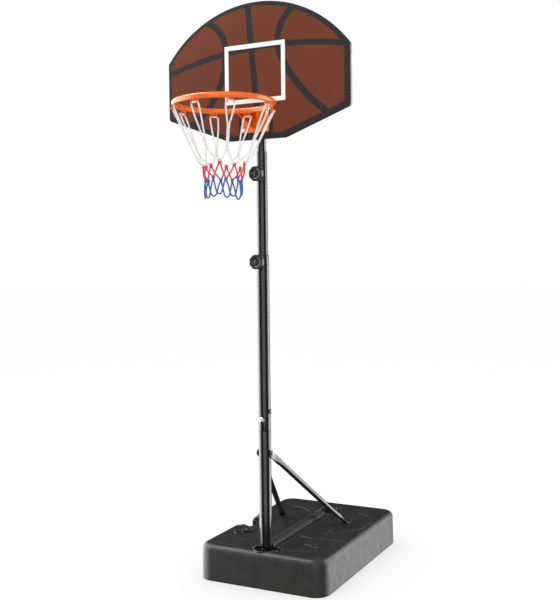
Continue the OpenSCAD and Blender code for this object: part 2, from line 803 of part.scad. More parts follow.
// Rolled tube with one small drain hole beside the bracket
module ring_hoop() color([1.0, 0.42, 0.14]) translate([0, -ring_y, ring_z]) difference() {
    rotate_extrude($fn = 96) translate([ring_r, 0]) circle(r = ring_rod_r);
    rotate_extrude($fn = 96) translate([ring_r, 0]) circle(r = ring_rod_r - ring_wall);
    translate([ring_r * cos(70), ring_r * sin(70), -ring_rod_r - 1]) cylinder(h = 5, r = 1.5);
}

// One wire hook under the ring, at angle 0: a bar, two legs and two ends that curl outwards
module net_hook() {
    bar_z = 0.6 - ring_rod_r - hook_wire_r;
    translate([ring_r, 0, 0]) {
        translate([0, -hook_half_w, bar_z]) along_y(2 * hook_half_w, hook_wire_r);
        for (s = [-1, 1]) translate([0, s * hook_half_w, 0]) {
            translate([0, 0, bar_z]) sphere(r = hook_wire_r);
            translate([0, 0, hook_low_z]) cylinder(h = bar_z - hook_low_z, r = hook_wire_r);
            translate([hook_bend_r, 0, hook_low_z]) rotate([90, 0, 0]) difference() {
                rotate_extrude() translate([hook_bend_r, 0]) circle(r = hook_wire_r, $fn = 16);
                translate([-20, 0, -5]) cube([40, 20, 10]);
            }
            translate([2 * hook_bend_r, 0, hook_low_z]) cylinder(h = 2, r = hook_wire_r);
            translate([2 * hook_bend_r, 0, hook_low_z + 2]) sphere(r = hook_wire_r);
        }
    }
}

module net_hooks() color([1.0, 0.42, 0.14])
    translate([0, -ring_y, ring_z]) for (a = hook_angles) rotate(a) net_hook();

module net() color([0.92, 0.92, 0.92])
    translate([0, -ring_y, 0]) rotate_extrude($fn = 64)
        polygon([[net_bottom_r, net_bottom_z], [net_bottom_r + net_t, net_bottom_z],
                 [net_top_r + net_t, net_top_z], [net_top_r, net_top_z]]);

base_tank();
fill_collar();
fill_cap();
wheel_axle();
axle_spacer();
wheel_front();
wheel_rear();
base_tube();
base_tube_cap();
tube_clip();
tube_insert();
foot_bolt();
foot_pin();
foot_plug();
pole_foot();
strut_left();
strut_right();
strut_bolt();
strut_nut();
strut_washers();
strut_foot_bolts();
tank_inserts();
pole_lower();
neck_cross_bolt();
neck_cross_nut();
neck_front_bolt();
neck_front_nut();
lower_bush();
lower_knob_boss();
knob_lower();
knob_lower_screw();
pole_middle();
middle_glide();
upper_bush();
upper_knob_boss();
knob_upper();
knob_upper_screw();
pole_upper();
upper_glide();
pole_top_cap();
pole_clamps();
clamp_bolts();
board_panel();
board_frame_upper();
board_frame_lower();
frame_joiners();
crossbar_upper();
crossbar_lower();
panel_screws();
ring_backplate();
ring_bracket();
bracket_bolts();
bracket_nuts();
ring_hoop();
net_hooks();
net();
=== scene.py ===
import math

import bpy
import numpy as np
from mathutils import Matrix, Vector


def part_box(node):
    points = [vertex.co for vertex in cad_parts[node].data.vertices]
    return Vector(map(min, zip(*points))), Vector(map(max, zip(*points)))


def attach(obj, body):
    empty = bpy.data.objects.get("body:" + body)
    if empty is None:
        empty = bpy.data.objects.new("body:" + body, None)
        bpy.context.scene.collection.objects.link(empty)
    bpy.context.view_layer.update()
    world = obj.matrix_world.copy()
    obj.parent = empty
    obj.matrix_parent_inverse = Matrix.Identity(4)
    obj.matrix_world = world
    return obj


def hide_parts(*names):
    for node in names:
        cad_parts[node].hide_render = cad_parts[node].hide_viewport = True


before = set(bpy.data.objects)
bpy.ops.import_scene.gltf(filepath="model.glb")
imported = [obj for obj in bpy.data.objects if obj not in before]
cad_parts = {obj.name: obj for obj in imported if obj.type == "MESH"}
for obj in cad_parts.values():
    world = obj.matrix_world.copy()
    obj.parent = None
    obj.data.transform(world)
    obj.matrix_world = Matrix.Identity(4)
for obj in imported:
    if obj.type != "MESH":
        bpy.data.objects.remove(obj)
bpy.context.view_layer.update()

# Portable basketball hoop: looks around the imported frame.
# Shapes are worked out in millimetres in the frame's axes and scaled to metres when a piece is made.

scene = bpy.context.scene
MM = 0.001


def node_box(node):
    """Lowest and highest corner of a CAD node, in millimetres."""
    low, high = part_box(node)
    return np.array(low) / MM, np.array(high) / MM


# ---------- camera ----------

def unit(v):
    """The vector, or each row of vectors, at length 1."""
    v = np.asarray(v, float)
    return v / np.linalg.norm(v, axis=-1, keepdims=True)


CAMERA_AT = (1.4853, -2.8192, 1.1386)
CAMERA_YAW, CAMERA_PITCH, CAMERA_ROLL = (math.radians(a) for a in (26.73, -2.45, -0.62))

forward = Vector((-math.sin(CAMERA_YAW) * math.cos(CAMERA_PITCH),
                  math.cos(CAMERA_YAW) * math.cos(CAMERA_PITCH),
                  math.sin(CAMERA_PITCH)))
level = Vector((math.cos(CAMERA_YAW), math.sin(CAMERA_YAW), 0))
upright = level.cross(forward)
right = math.cos(CAMERA_ROLL) * level + math.sin(CAMERA_ROLL) * upright
up = -math.sin(CAMERA_ROLL) * level + math.cos(CAMERA_ROLL) * upright

camera_data = bpy.data.cameras.new("camera")
camera_data.lens = 54.9
camera_data.sensor_width = 36
camera_data.clip_end = 200
camera = bpy.data.objects.new("camera", camera_data)
camera.matrix_world = Matrix.Translation(CAMERA_AT) @ Matrix((right, up, -forward)).transposed().to_4x4()
scene.collection.objects.link(camera)
scene.camera = camera


# ---------- material nodes ----------

def math_node(operation):
    """Method of Num that makes one Math node."""
    return lambda self, *others: self.apply(operation, *others)


class Num:
    """A shader socket or number that arithmetic can be written with."""

    def __init__(self, tree, value):
        self.tree = tree
        self.value = value

    def apply(self, operation, *others):
        node = self.tree.nodes.new("ShaderNodeMath")
        node.operation = operation
        for socket, item in zip(node.inputs, (self, *others)):
            item = item.value if isinstance(item, Num) else item
            if isinstance(item, (int, float)):
                socket.default_value = item
            else:
                self.tree.links.new(item, socket)
        return Num(self.tree, node.outputs[0])

    __add__ = math_node("ADD")
    __sub__ = math_node("SUBTRACT")
    __mul__ = math_node("MULTIPLY")
    __abs__ = math_node("ABSOLUTE")
    max = math_node("MAXIMUM")
    smooth_max = math_node("SMOOTH_MAX")
    below = math_node("LESS_THAN")
    above = math_node("GREATER_THAN")

    def hypot(self, other):
        return (self * self + other * other).apply("SQRT")


class Finish:
    """A material with one Principled shader, and helpers for its nodes."""

    def __init__(self, name, colour, roughness, metallic=0.0, **settings):
        self.material = bpy.data.materials.new(name)
        self.material.use_nodes = True
        self.material.diffuse_color = (*colour, 1)
        self.tree = self.material.node_tree
        self.shader = self.tree.nodes["Principled BSDF"]
        self.set(Base_Color=(*colour, 1), Roughness=roughness, Metallic=metallic, **settings)
        self.coordinates = self.tree.nodes.new("ShaderNodeTexCoord").outputs["Object"]

    def feed(self, node, **inputs):
        """Sets a node's inputs, or links them where a socket is given. A name's _ is a space."""
        for name, item in inputs.items():
            item = item.value if isinstance(item, Num) else item
            socket = node.inputs[name.replace("_", " ")]
            if isinstance(item, bpy.types.NodeSocket):
                self.tree.links.new(item, socket)
            else:
                socket.default_value = item
        return node

    def set(self, **inputs):
        self.feed(self.shader, **inputs)

    def new(self, kind, **inputs):
        return self.feed(self.tree.nodes.new("ShaderNode" + kind), **inputs)

    def scaled(self, size, stretch=(1, 1, 1)):
        """Object coordinates in units of size millimetres."""
        scale = [s / (size * MM) for s in stretch]
        return self.new("Mapping", Vector=self.coordinates, Scale=scale).outputs["Vector"]

    def noise(self, size, detail=3.0, stretch=(1, 1, 1)):
        """Noise from 0 to 1 whose features are about size millimetres."""
        node = self.new("TexNoise", Vector=self.scaled(size, stretch), Scale=1.0, Detail=detail)
        return Num(self.tree, node.outputs["Fac"])

    def cells(self, size):
        """Pebbled grain from 0 to 1 with cells of about size millimetres."""
        node = self.new("TexVoronoi", Vector=self.scaled(size), Scale=1.0)
        node.feature = "SMOOTH_F1"
        return Num(self.tree, node.outputs["Distance"])

    def remap(self, value, low, high, start=0.3, end=0.7):
        """Value from start to end becomes low to high."""
        node = self.new("MapRange", Value=value, From_Min=start, From_Max=end, To_Min=low, To_Max=high)
        return Num(self.tree, node.outputs["Result"])

    def mix(self, factor, first, second):
        """Colour first where factor is 0, and second where it is 1. Each is a colour or a socket."""
        node = self.new("Mix", Factor=factor)
        node.data_type = "RGBA"
        for socket, item in zip([s for s in node.inputs if s.type == "RGBA"], (first, second)):
            if isinstance(item, tuple):
                socket.default_value = (*item, 1)
            else:
                self.tree.links.new(item, socket)
        return [s for s in node.outputs if s.type == "RGBA"][0]

    def clouds(self, size, detail, first, second, *limits):
        """Colour that drifts between two, in clouds of size millimetres."""
        return self.mix(self.remap(self.noise(size, detail), 0, 1, *limits), first, second)

    def bump(self, height, depth, strength=1.0):
        """Bump of depth millimetres where height goes from 0 to 1, on top of any bump so far."""
        node = self.new("Bump", Strength=strength, Distance=depth * MM, Height=height)
        normal = self.shader.inputs["Normal"]
        if normal.is_linked:
            self.feed(node, Normal=normal.links[0].from_socket)
        self.set(Normal=node.outputs["Normal"])

    def position(self):
        """Object coordinates X and Z in millimetres."""
        node = self.new("SeparateXYZ", Vector=self.coordinates)
        return [Num(self.tree, node.outputs[axis]) * (1 / MM) for axis in "XZ"]


def moulded_plastic(name, colour, roughness, grain, specular=0.5):
    """Satin moulded plastic with a fine pebbled grain and faint scuffs."""
    finish = Finish(name, colour, roughness, Specular_IOR_Level=specular)
    lighter = tuple(c * 1.5 + 0.002 for c in colour)
    finish.set(Base_Color=finish.clouds(60, 6, colour, lighter, 0.35, 0.75),
               Roughness=finish.remap(finish.noise(25, 5), roughness - 0.05, roughness + 0.08))
    finish.bump(finish.cells(grain), 0.06)
    finish.bump(finish.noise(90, 2), 0.35, 0.5)
    return finish.material


def gloss_paint(name, colour, roughness, peel, coat, **settings):
    """Powder coat: glossy, with orange peel and a slow change of gloss."""
    finish = Finish(name, colour, roughness, Coat_Weight=coat, Coat_Roughness=0.08, **settings)
    finish.set(Base_Color=finish.clouds(70, 4, colour, tuple(c * 0.82 for c in colour)),
               Roughness=finish.remap(finish.noise(30, 4), roughness - 0.04, roughness + 0.06))
    finish.bump(finish.noise(peel, 2), 0.01)
    return finish.material


def zinc(name, tint):
    """Bright zinc plating with cloudy variation and fine scratches."""
    finish = Finish(name, tint, 0.3, metallic=1.0)
    finish.set(Base_Color=finish.clouds(4, 3, tint, (tint[0], tint[1] * 0.97, tint[2] * 0.88)),
               Roughness=finish.remap(finish.noise(2.5, 5), 0.38, 0.52))
    finish.bump(finish.noise(0.8, 3, (1, 1, 6)), 0.015)
    return finish.material


def twisted_cord(name, colour, shade):
    """Soft polyester cord: fine fibres, a little sheen and soiling."""
    finish = Finish(name, colour, 0.75, Sheen_Weight=0.35, Sheen_Roughness=0.4)
    finish.set(Base_Color=finish.clouds(3, 5, colour, shade))
    finish.bump(finish.noise(0.5, 4, (1, 1, 0.35)), 0.12)
    return finish.material


TANK = moulded_plastic("tank_plastic", (0.022, 0.022, 0.0212), 0.46, 1.1)
BLACK_PLASTIC = moulded_plastic("black_plastic", (0.012, 0.012, 0.012), 0.45, 0.6)
# near-black matte plastic: the tube saddle's own colour, and on the foot bolt a painted shade of the dark foot pocket
SADDLE_AND_POCKET_SHADE = moulded_plastic("saddle_plastic_and_pocket_shade", (0.004, 0.004, 0.004), 0.7, 0.6, 0.25)
WHEEL = moulded_plastic("wheel_plastic", (0.035, 0.035, 0.034), 0.5, 0.8)
KNOB = moulded_plastic("knob_plastic", (0.016, 0.016, 0.016), 0.3, 0.5)
POLE = gloss_paint("pole_paint", (0.010, 0.010, 0.011), 0.2, 2.2, 0.6)
CHANNEL_TUBE = gloss_paint("channel_tube_paint", (0.045, 0.045, 0.043), 0.55, 1.6, 0.0, Specular_IOR_Level=0.15)
FRAME = gloss_paint("frame_paint", (0.014, 0.014, 0.015), 0.28, 1.6, 0.3)
RING = gloss_paint("ring_paint", (0.98, 0.16, 0.012), 0.26, 2.0, 0.0, Specular_IOR_Level=0.8,
                   Specular_Tint=(1.0, 0.8, 0.5, 1.0))
ZINC = zinc("zinc_steel", (0.80, 0.81, 0.83))
BRASS = zinc("insert_brass", (0.78, 0.60, 0.28))
CORD_WHITE = twisted_cord("cord_white", (0.90, 0.90, 0.885), (0.82, 0.82, 0.80))
CORD_RED = twisted_cord("cord_red", (0.84, 0.05, 0.07), (0.62, 0.03, 0.045))
CORD_BLUE = twisted_cord("cord_blue", (0.03, 0.17, 0.62), (0.018, 0.08, 0.36))


# ---------- board print ----------

def circle_through(a, b, c):
    """Centre and radius of the circle through three points in the board's plane."""
    (ax, az), (bx, bz), (cx, cz) = a, b, c
    d = 2 * (ax * (bz - cz) + bx * (cz - az) + cx * (az - bz))
    sa, sb, sc = ax ** 2 + az ** 2, bx ** 2 + bz ** 2, cx ** 2 + cz ** 2
    x = (sa * (bz - cz) + sb * (cz - az) + sc * (az - bz)) / d
    z = (sa * (cx - bx) + sb * (ax - cx) + sc * (bx - ax)) / d
    return x, z, math.hypot(ax - x, az - z)


BOARD_LOW, BOARD_HIGH = node_box("board_panel")
HALF_W = BOARD_HIGH[0]
BOARD_Z0, BOARD_Z3 = BOARD_LOW[2], BOARD_HIGH[2]
BOARD_Z1, BOARD_Z2 = BOARD_Z0 + 89, BOARD_Z0 + 289
FLAT_HALF = 108.5
SLANT = math.atan2(BOARD_Z1 - BOARD_Z0, HALF_W - FLAT_HALF)
ARC_R = (HALF_W ** 2 + (BOARD_Z3 - BOARD_Z2) ** 2) / (2 * (BOARD_Z3 - BOARD_Z2))
ARC_Z = BOARD_Z3 - ARC_R


def board_print():
    """Ball seams, border and shooter's square, drawn from distances in the board's plane."""
    brown, black, white = (0.174, 0.046, 0.025), (0.033, 0.032, 0.031), (0.93, 0.93, 0.92)
    finish = Finish("board_print", brown, 0.55, Specular_IOR_Level=0.05)
    x, z = finish.position()

    def line_between(p, q, width):
        """1 on a straight stripe through p and q."""
        length = math.hypot(q[0] - p[0], q[1] - p[1])
        nx, nz = (q[1] - p[1]) / length, (p[0] - q[0]) / length
        return abs((x - p[0]) * nx + (z - p[1]) * nz).below(width / 2)

    def arc_through(a, b, c, width):
        """1 on a stripe along the circle through three points."""
        cx, cz, r = circle_through(a, b, c)
        return abs((x - cx).hypot(z - cz) - r).below(width / 2)

    def joined(upper, lower, z_join):
        """Upper stripe above z_join and lower stripe below it."""
        low = z.below(z_join)
        return low * lower + (low * -1 + 1) * upper

    seam, arc_seam = 23, 20
    seams = [line_between((-26.5, 2005), (4, 1665), seam),
             joined(arc_through((-180, 1967), (-120, 1900), (-117, 1840), seam),
                    arc_through((-117, 1840), (-135, 1754), (-225, 1640), seam), 1840),
             joined(arc_through((138, 1979), (90, 1905), (89, 1850), seam),
                    arc_through((89, 1850), (145, 1750), (263, 1631), seam), 1850),
             arc_through((-338, 1807), (0, 1866), (340, 1842), arc_seam)]
    dark = seams[0].max(seams[1]).max(seams[2]).max(seams[3])

    # the brown field is the outline moved inwards, printed slightly off centre
    inset = 16.5
    fx, fz = abs(x + 4.5), z - 2.5
    slant_edge = (fx - FLAT_HALF) * math.sin(SLANT) - (fz - BOARD_Z0) * math.cos(SLANT)
    border = fx - HALF_W
    for edge in (fx.hypot(fz - ARC_Z) - ARC_R, slant_edge, fz * -1 + BOARD_Z0):
        border = border.smooth_max(edge, 9.0)
    dark = dark.max(border.above(-inset))
    dark = dark.max(abs(x).below(65) * z.below(1655))

    square = (abs(x + 2.5) - 116.5).max(abs(z - 1779.5) - 100.5)
    white_line = square.below(0) * square.above(-15)

    field = finish.clouds(120, 4, brown, tuple(c * 0.88 for c in brown))
    printed = finish.mix(dark, field, black)
    finish.set(Base_Color=finish.mix(white_line, printed, white),
               Roughness=finish.remap(finish.noise(20, 5), 0.5, 0.6))
    finish.bump(finish.noise(1.4, 3), 0.03)
    return finish.material


BOARD = board_print()


# ---------- shape building ----------

class Shape:
    """Vertices in millimetres and faces, put together from several solids."""

    def __init__(self):
        self.verts = []
        self.faces = []

    def add(self, solid, at=Matrix.Identity(4)):
        verts, faces = solid
        verts = np.asarray(verts, float)
        m = np.array(at)
        start = sum(len(v) for v in self.verts)
        self.verts.append(verts @ m[:3, :3].T + m[:3, 3])
        turned = np.linalg.det(m[:3, :3]) < 0
        for face in faces:
            face = [start + i for i in face]
            self.faces.append(face[::-1] if turned else face)
        return self


def add_piece(name, mesh, body, material, replaces):
    """Piece of a finished mesh, on its body and in place of its CAD nodes."""
    mesh.materials.clear()
    mesh.materials.append(material)
    piece = bpy.data.objects.new(name, mesh)
    scene.collection.objects.link(piece)
    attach(piece, body)
    if replaces:
        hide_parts(*replaces)
    return piece


def place(shape, name, body, material, *replaces, sharp=35):
    """Piece of a Shape, or of one solid."""
    if isinstance(shape, tuple):
        shape = Shape().add(shape)
    mesh = bpy.data.meshes.new(name)
    mesh.from_pydata((np.concatenate(shape.verts) * MM).tolist(), [], shape.faces)
    mesh.update()
    mesh.shade_smooth()
    mesh.set_sharp_from_angle(angle=math.radians(sharp))
    return add_piece(name, mesh, body, material, replaces)


def move(x, y, z):
    return Matrix.Translation((x, y, z))


def turn(axis, degrees):
    return Matrix.Rotation(math.radians(degrees), 4, axis)


MIRROR_X = Matrix.Diagonal((-1, 1, 1, 1))
MIRROR_Z = Matrix.Diagonal((1, 1, -1, 1))
ALONG_X, ALONG_MINUS_X = turn("Y", 90), turn("Y", -90)
ALONG_Y, ALONG_MINUS_Y = turn("X", -90), turn("X", 90)


def arc(r, start, end, steps):
    """Points on a circle of radius r, from start to end in degrees."""
    return [(r * math.cos(a), r * math.sin(a)) for a in np.radians(np.linspace(start, end, steps + 1))]


def skin(rows, n, closed=False):
    """Faces between rows of n points that each go round a solid, with caps unless the rows close."""
    faces = [[k * n + i, k * n + (i + 1) % n, (k + 1) % rows * n + (i + 1) % n, (k + 1) % rows * n + i]
             for k in range(rows if closed else rows - 1) for i in range(n)]
    if not closed:
        faces += [list(range(n))[::-1], [(rows - 1) * n + i for i in range(n)]]
    return faces


def rounded(points, radii, steps=5, closed=True):
    """2-D outline whose corners are replaced by arcs. radii is one number or one for each corner."""
    points = [np.asarray(p, float) for p in points]
    if isinstance(radii, (int, float)):
        radii = [radii] * len(points)
    out = []
    for i, (b, r) in enumerate(zip(points, radii)):
        if r <= 0 or (not closed and i in (0, len(points) - 1)):
            out.append(b)
            continue
        u, v = unit(points[i - 1] - b), unit(points[(i + 1) % len(points)] - b)
        half = math.acos(max(-1, min(1, float(u @ v)))) / 2
        if abs(half - math.pi / 2) < 1e-3:
            out.append(b)
            continue
        centre = b + unit(u + v) * r / math.sin(half)
        start, end = b + u * r / math.tan(half) - centre, b + v * r / math.tan(half) - centre
        first = math.degrees(math.atan2(start[1], start[0]))
        last = math.degrees(math.atan2(end[1], end[0]))
        out += [centre + p for p in arc(r, first, first + (last - first + 180) % 360 - 180, steps)]
    return out


def lathe(profile, n=64, closed=False):
    """Solid of revolution about Z. The profile's (radius, height) points run up the outside."""
    verts, rings = [], []
    angles = [2 * math.pi * i / n for i in range(n)]
    for r, z in profile:
        if r < 1e-6:
            rings.append([len(verts)])
            verts.append((0, 0, z))
        else:
            rings.append(list(range(len(verts), len(verts) + n)))
            verts += [(r * math.cos(a), r * math.sin(a), z) for a in angles]
    pairs = list(zip(rings, rings[1:]))
    if closed:
        pairs.append((rings[-1], rings[0]))
    faces = []
    for a, b in pairs:
        for i in range(n):
            j = (i + 1) % n
            quad = [a[i % len(a)], a[j % len(a)], b[j % len(b)], b[i % len(b)]]
            faces.append([q for k, q in enumerate(quad) if q not in quad[:k]])
    return verts, faces


def turned(corners, radii, steps=3, n=64):
    """Ring turned from a closed section with rounded corners."""
    return lathe(rounded(corners, radii, steps), n, closed=True)


def turned_solid(corners, radii, steps=3, n=64):
    """Solid turned from the corners of its outside, which start and end on the axis."""
    return lathe(rounded(corners, radii, steps, closed=False), n)


def disc(r, h, edge=0.6):
    """Solid cylinder on the XY plane with rounded edges."""
    return turned_solid([(0, 0), (r, 0), (r, h), (0, h)], [0, edge, edge, 0])


def pipe(r_out, r_in, z0, z1, edge=0.3):
    """Tube from z0 to z1 with rounded rims."""
    inner = 0.15
    return turned([(r_out, z0), (r_out, z1), (r_in, z1), (r_in, z0)], [edge, edge, inner, inner], 3, 96)


def dome(r, h, foot):
    """Domed bolt head on the XY plane, with a short straight foot."""
    ball = (r * r + (h - foot) ** 2) / (2 * (h - foot))
    reach = math.asin(min(1, r / ball))
    crown = [(ball * math.sin(reach * (1 - k / 8)), h - ball + ball * math.cos(reach * (1 - k / 8)))
             for k in range(1, 9)]
    return lathe([(0, 0), (r, 0), (r, foot)] + crown[:-1] + [(0, h)])


def hex_head(flats, h, bore=0.0, n=48):
    """Hexagon whose top edge is chamfered by a cone."""
    angles = [2 * math.pi * i / n for i in range(n)]

    def radius(a, z):
        return min(flats / 2 / math.cos(a % (math.pi / 3) - math.pi / 6), flats / 2 * 0.97 + (h - z) * 1.7)

    levels = [0] + [h - flats * 0.09 * (1 - k / 3) for k in range(4)]
    rows = [[(radius(a, z), z) for a in angles] for z in levels]
    if bore:
        rows += [[(bore, z)] * n for z in (h, 0)]
    verts = [(r * math.cos(a), r * math.sin(a), z) for row in rows for a, (r, z) in zip(angles, row)]
    return verts, skin(len(rows), n, closed=bore > 0)


def inset(outline, d):
    """Anticlockwise outline moved inwards by d, corner by corner."""
    p = np.asarray(outline, float)
    before, after = unit(p - np.roll(p, 1, 0)), unit(np.roll(p, -1, 0) - p)
    n0 = np.stack([-before[:, 1], before[:, 0]], 1)
    n1 = np.stack([-after[:, 1], after[:, 0]], 1)
    mid = unit(n0 + n1)
    return p + mid * (d / np.clip((mid * n0).sum(1), 0.3, 1))[:, None]


def prism(outline, z0, z1, edge=0.6, steps=3):
    """Anticlockwise outline extruded from z0 to z1 with rounded edges."""
    stack = []
    for k in range(steps + 1):
        a = math.pi / 2 * k / steps
        stack.append((edge * (1 - math.sin(a)), z0 + edge * (1 - math.cos(a))))
    stack += [(d, z0 + z1 - z) for d, z in stack[::-1]]
    verts = [(x, y, z) for d, z in stack for x, y in inset(outline, d)]
    return verts, skin(len(stack), len(outline))


def bar_outline(x0, x1, y0, y1, r, steps=4):
    """Rectangle with rounded corners."""
    return rounded([(x0, y0), (x1, y0), (x1, y1), (x0, y1)], r, steps)


def box(x0, x1, y0, y1, z0, z1, edge=0.5):
    """Box with rounded edges."""
    return prism(bar_outline(x0, x1, y0, y1, edge * 1.01, 3), z0, z1, edge)


def frames_along(path, closed, first=None):
    """Tangent and two side vectors at each point, carried along without twist."""
    p = np.asarray(path, float)
    t = unit(np.roll(p, -1, 0) - np.roll(p, 1, 0) if closed else np.gradient(p, axis=0))
    side = np.array(first or ((0, 0, 1) if abs(t[0][2]) < 0.9 else (1, 0, 0)), float)
    sides = []
    for k in range(len(p)):
        side = unit(side - t[k] * (side @ t[k]))
        sides.append(side)
    sides = np.array(sides)
    if closed:
        last = unit(sides[-1] - t[0] * (sides[-1] @ t[0]))
        miss = math.atan2(np.cross(last, sides[0]) @ t[0], last @ sides[0])
        for k in range(len(p)):
            a = miss * k / len(p)
            sides[k] = sides[k] * math.cos(a) + np.cross(t[k], sides[k]) * math.sin(a)
    return t, sides, np.cross(t, sides)


def sweep(path, section, closed=False, first=None, twist=0.0):
    """Section, a closed 2-D loop or one for each point, carried along a path. Twist is in turns."""
    p = np.asarray(path, float)
    _, u, v = frames_along(p, closed, first)
    section = np.asarray(section, float)
    if section.ndim == 2:
        section = np.broadcast_to(section, (len(p), *section.shape))
    verts = []
    for k in range(len(p)):
        a = 2 * math.pi * twist * k / len(p)
        c, s = math.cos(a), math.sin(a)
        x = section[k][:, 0] * c - section[k][:, 1] * s
        y = section[k][:, 0] * s + section[k][:, 1] * c
        verts.append(p[k] + x[:, None] * u[k] + y[:, None] * v[k])
    return np.concatenate(verts), skin(len(p), section.shape[1], closed)


def ring_section(r, n=12):
    return arc(r, 0, 360, n)[:-1]


def smooth_path(points, step):
    """Catmull-Rom curve through the points, sampled every step millimetres."""
    p = np.asarray(points, float)
    p = np.concatenate([2 * p[:1] - p[1:2], p, 2 * p[-1:] - p[-2:-1]])
    out = []
    for a, b, c, d in zip(p, p[1:], p[2:], p[3:]):
        count = max(2, int(np.linalg.norm(c - b) / step))
        for t in np.arange(count) / count:
            out.append(0.5 * ((2 * b) + (c - a) * t + (2 * a - 5 * b + 4 * c - d) * t ** 2
                              + (3 * b - a - 3 * c + d) * t ** 3))
    return np.array(out + [p[-2]])


def wire(points, r):
    """Round wire along a smooth path, with rounded tips."""
    path = smooth_path(points, 1.0)
    scale = np.ones(len(path))
    scale[0] = scale[-1] = 0.55
    return sweep(path, [ring_section(r * s) for s in scale])


# ---------- distance fields, for moulded shapes ----------

def meet(a, b, r):
    """Intersection of two fields with an edge of radius r."""
    return np.minimum(-r, np.maximum(a, b)) + np.hypot(np.maximum(a + r, 0), np.maximum(b + r, 0))


def join(a, b, r):
    return -meet(-a, -b, r)


def cut(a, b, r):
    return meet(a, -b, r)


def rectangle(x, y, half_x, half_y, r):
    """Distance to a rectangle with corners of radius r."""
    qx, qy = np.abs(x) - half_x + r, np.abs(y) - half_y + r
    return np.hypot(np.maximum(qx, 0), np.maximum(qy, 0)) + np.minimum(np.maximum(qx, qy), 0) - r


def segment(x, y, a, b):
    """Distance to the segment from a to b."""
    dx, dy = b[0] - a[0], b[1] - a[1]
    t = np.clip(((x - a[0]) * dx + (y - a[1]) * dy) / (dx * dx + dy * dy), 0, 1)
    return np.hypot(x - a[0] - dx * t, y - a[1] - dy * t)


def surface(field, low, high, step, keep):
    """Mesh of a field's zero surface: one vertex in each cell that the surface crosses."""
    axes = [np.arange(low[k], high[k] + step, step, dtype=np.float32) for k in range(3)]
    d = field(axes[0][:, None, None], axes[1][None, :, None], axes[2][None, None, :]).astype(np.float32)
    shape = np.array(d.shape)
    weights = np.array([shape[1] * shape[2], shape[2], 1])
    cells, points, quads = [], [], []
    for axis in range(3):
        first = np.take(d, range(shape[axis] - 1), axis)
        second = np.take(d, range(1, shape[axis]), axis)
        index = np.argwhere((first < 0) != (second < 0))
        fa, fb = first[tuple(index.T)], second[tuple(index.T)]
        at = index.astype(float)
        at[:, axis] += fa / (fa - fb)
        u, v = np.eye(3, dtype=int)[(axis + 1) % 3], np.eye(3, dtype=int)[(axis + 2) % 3]
        around = [(index - u - v) @ weights, (index - v) @ weights, index @ weights, (index - u) @ weights]
        for cell in around:
            cells.append(cell)
            points.append(at)
        quad = np.stack(around, 1)
        quads.append(np.where((fa < 0)[:, None], quad, quad[:, ::-1]))
    cells, points, quads = np.concatenate(cells), np.concatenate(points), np.concatenate(quads)
    ids, place_of = np.unique(cells, return_inverse=True)
    count = np.bincount(place_of)
    verts = np.stack([np.bincount(place_of, points[:, k]) / count for k in range(3)], 1)
    verts = settle(field, verts * step + np.array(low))
    faces = np.searchsorted(ids, quads)
    mesh = bpy.data.meshes.new("field")
    mesh.from_pydata(verts.tolist(), [], faces.tolist())
    return thinned(mesh, keep)


def slope(field, p, h=0.05):
    """Gradient of a field at points."""
    def at(q):
        return field(q[:, 0], q[:, 1], q[:, 2])
    return np.stack([at(p + h * e) - at(p - h * e) for e in np.eye(3)], 1) / (2 * h)


def settle(field, p, rounds=3):
    """Moves points onto the field's zero surface."""
    for _ in range(rounds):
        g = slope(field, p)
        size = np.maximum((g * g).sum(1), 0.1)
        move_by = -field(p[:, 0], p[:, 1], p[:, 2])[:, None] * g / size[:, None]
        length = np.linalg.norm(move_by, axis=1)[:, None]
        p = p + move_by * np.minimum(1, 1.0 / np.maximum(length, 1e-9))
    return p


def thinned(mesh, keep):
    """The mesh with its flat stretches reduced to fewer faces."""
    obj = bpy.data.objects.new("thinned", mesh)
    scene.collection.objects.link(obj)
    modifier = obj.modifiers.new("thin", "DECIMATE")
    modifier.ratio = keep
    depsgraph = bpy.context.evaluated_depsgraph_get()
    result = bpy.data.meshes.new_from_object(obj.evaluated_get(depsgraph))
    bpy.data.objects.remove(obj)
    return result


def place_field(field, low, high, step, name, body, material, replaces, keep):
    """Piece from a distance field, with normals taken from the field itself."""
    mesh = surface(field, low, high, step * (1), keep)
    count = len(mesh.vertices)
    co = np.zeros(count * 3)
    mesh.vertices.foreach_get("co", co)
    co = settle(field, co.reshape(-1, 3), 2)
    normals = slope(field, co)
    normals /= np.maximum(np.linalg.norm(normals, axis=1), 1e-6)[:, None]
    mesh.vertices.foreach_set("co", (co * MM).ravel())
    mesh.update()
    mesh.shade_smooth()
    mesh.normals_split_custom_set_from_vertices(normals.tolist())
    return add_piece(name, mesh, body, material, [replaces])


# ---------- base ----------

TANK_LOW, TANK_HIGH = node_box("base_tank")
BASE_H = TANK_HIGH[2]
BASE_MID_Y = (TANK_LOW[1] + TANK_HIGH[1]) / 2
BASE_HALF_W, BASE_HALF_L, BASE_CORNER, BASE_EDGE, BASE_DRAFT = 250, 365, 56, 20, 3
FOOT_Y, FOOT_R, FOOT_Z = -12, 34, 70
CHANNEL_HALF, CHANNEL_Z, CHANNEL_END = 28, 105, 480
NOTCH_X, NOTCH_Y0, NOTCH_Y1 = -178, 212, 396
GROOVES = [[(69, -5), (175, 40)], [(191, 56), (229, 83)], [(122, 176), (228, 185)],
           [(102, 97), (163, 75)], [(44, 178), (100, 171)]]
SWAGE = [(148, 7), (146, 104), (121, 285), (106, 416)]


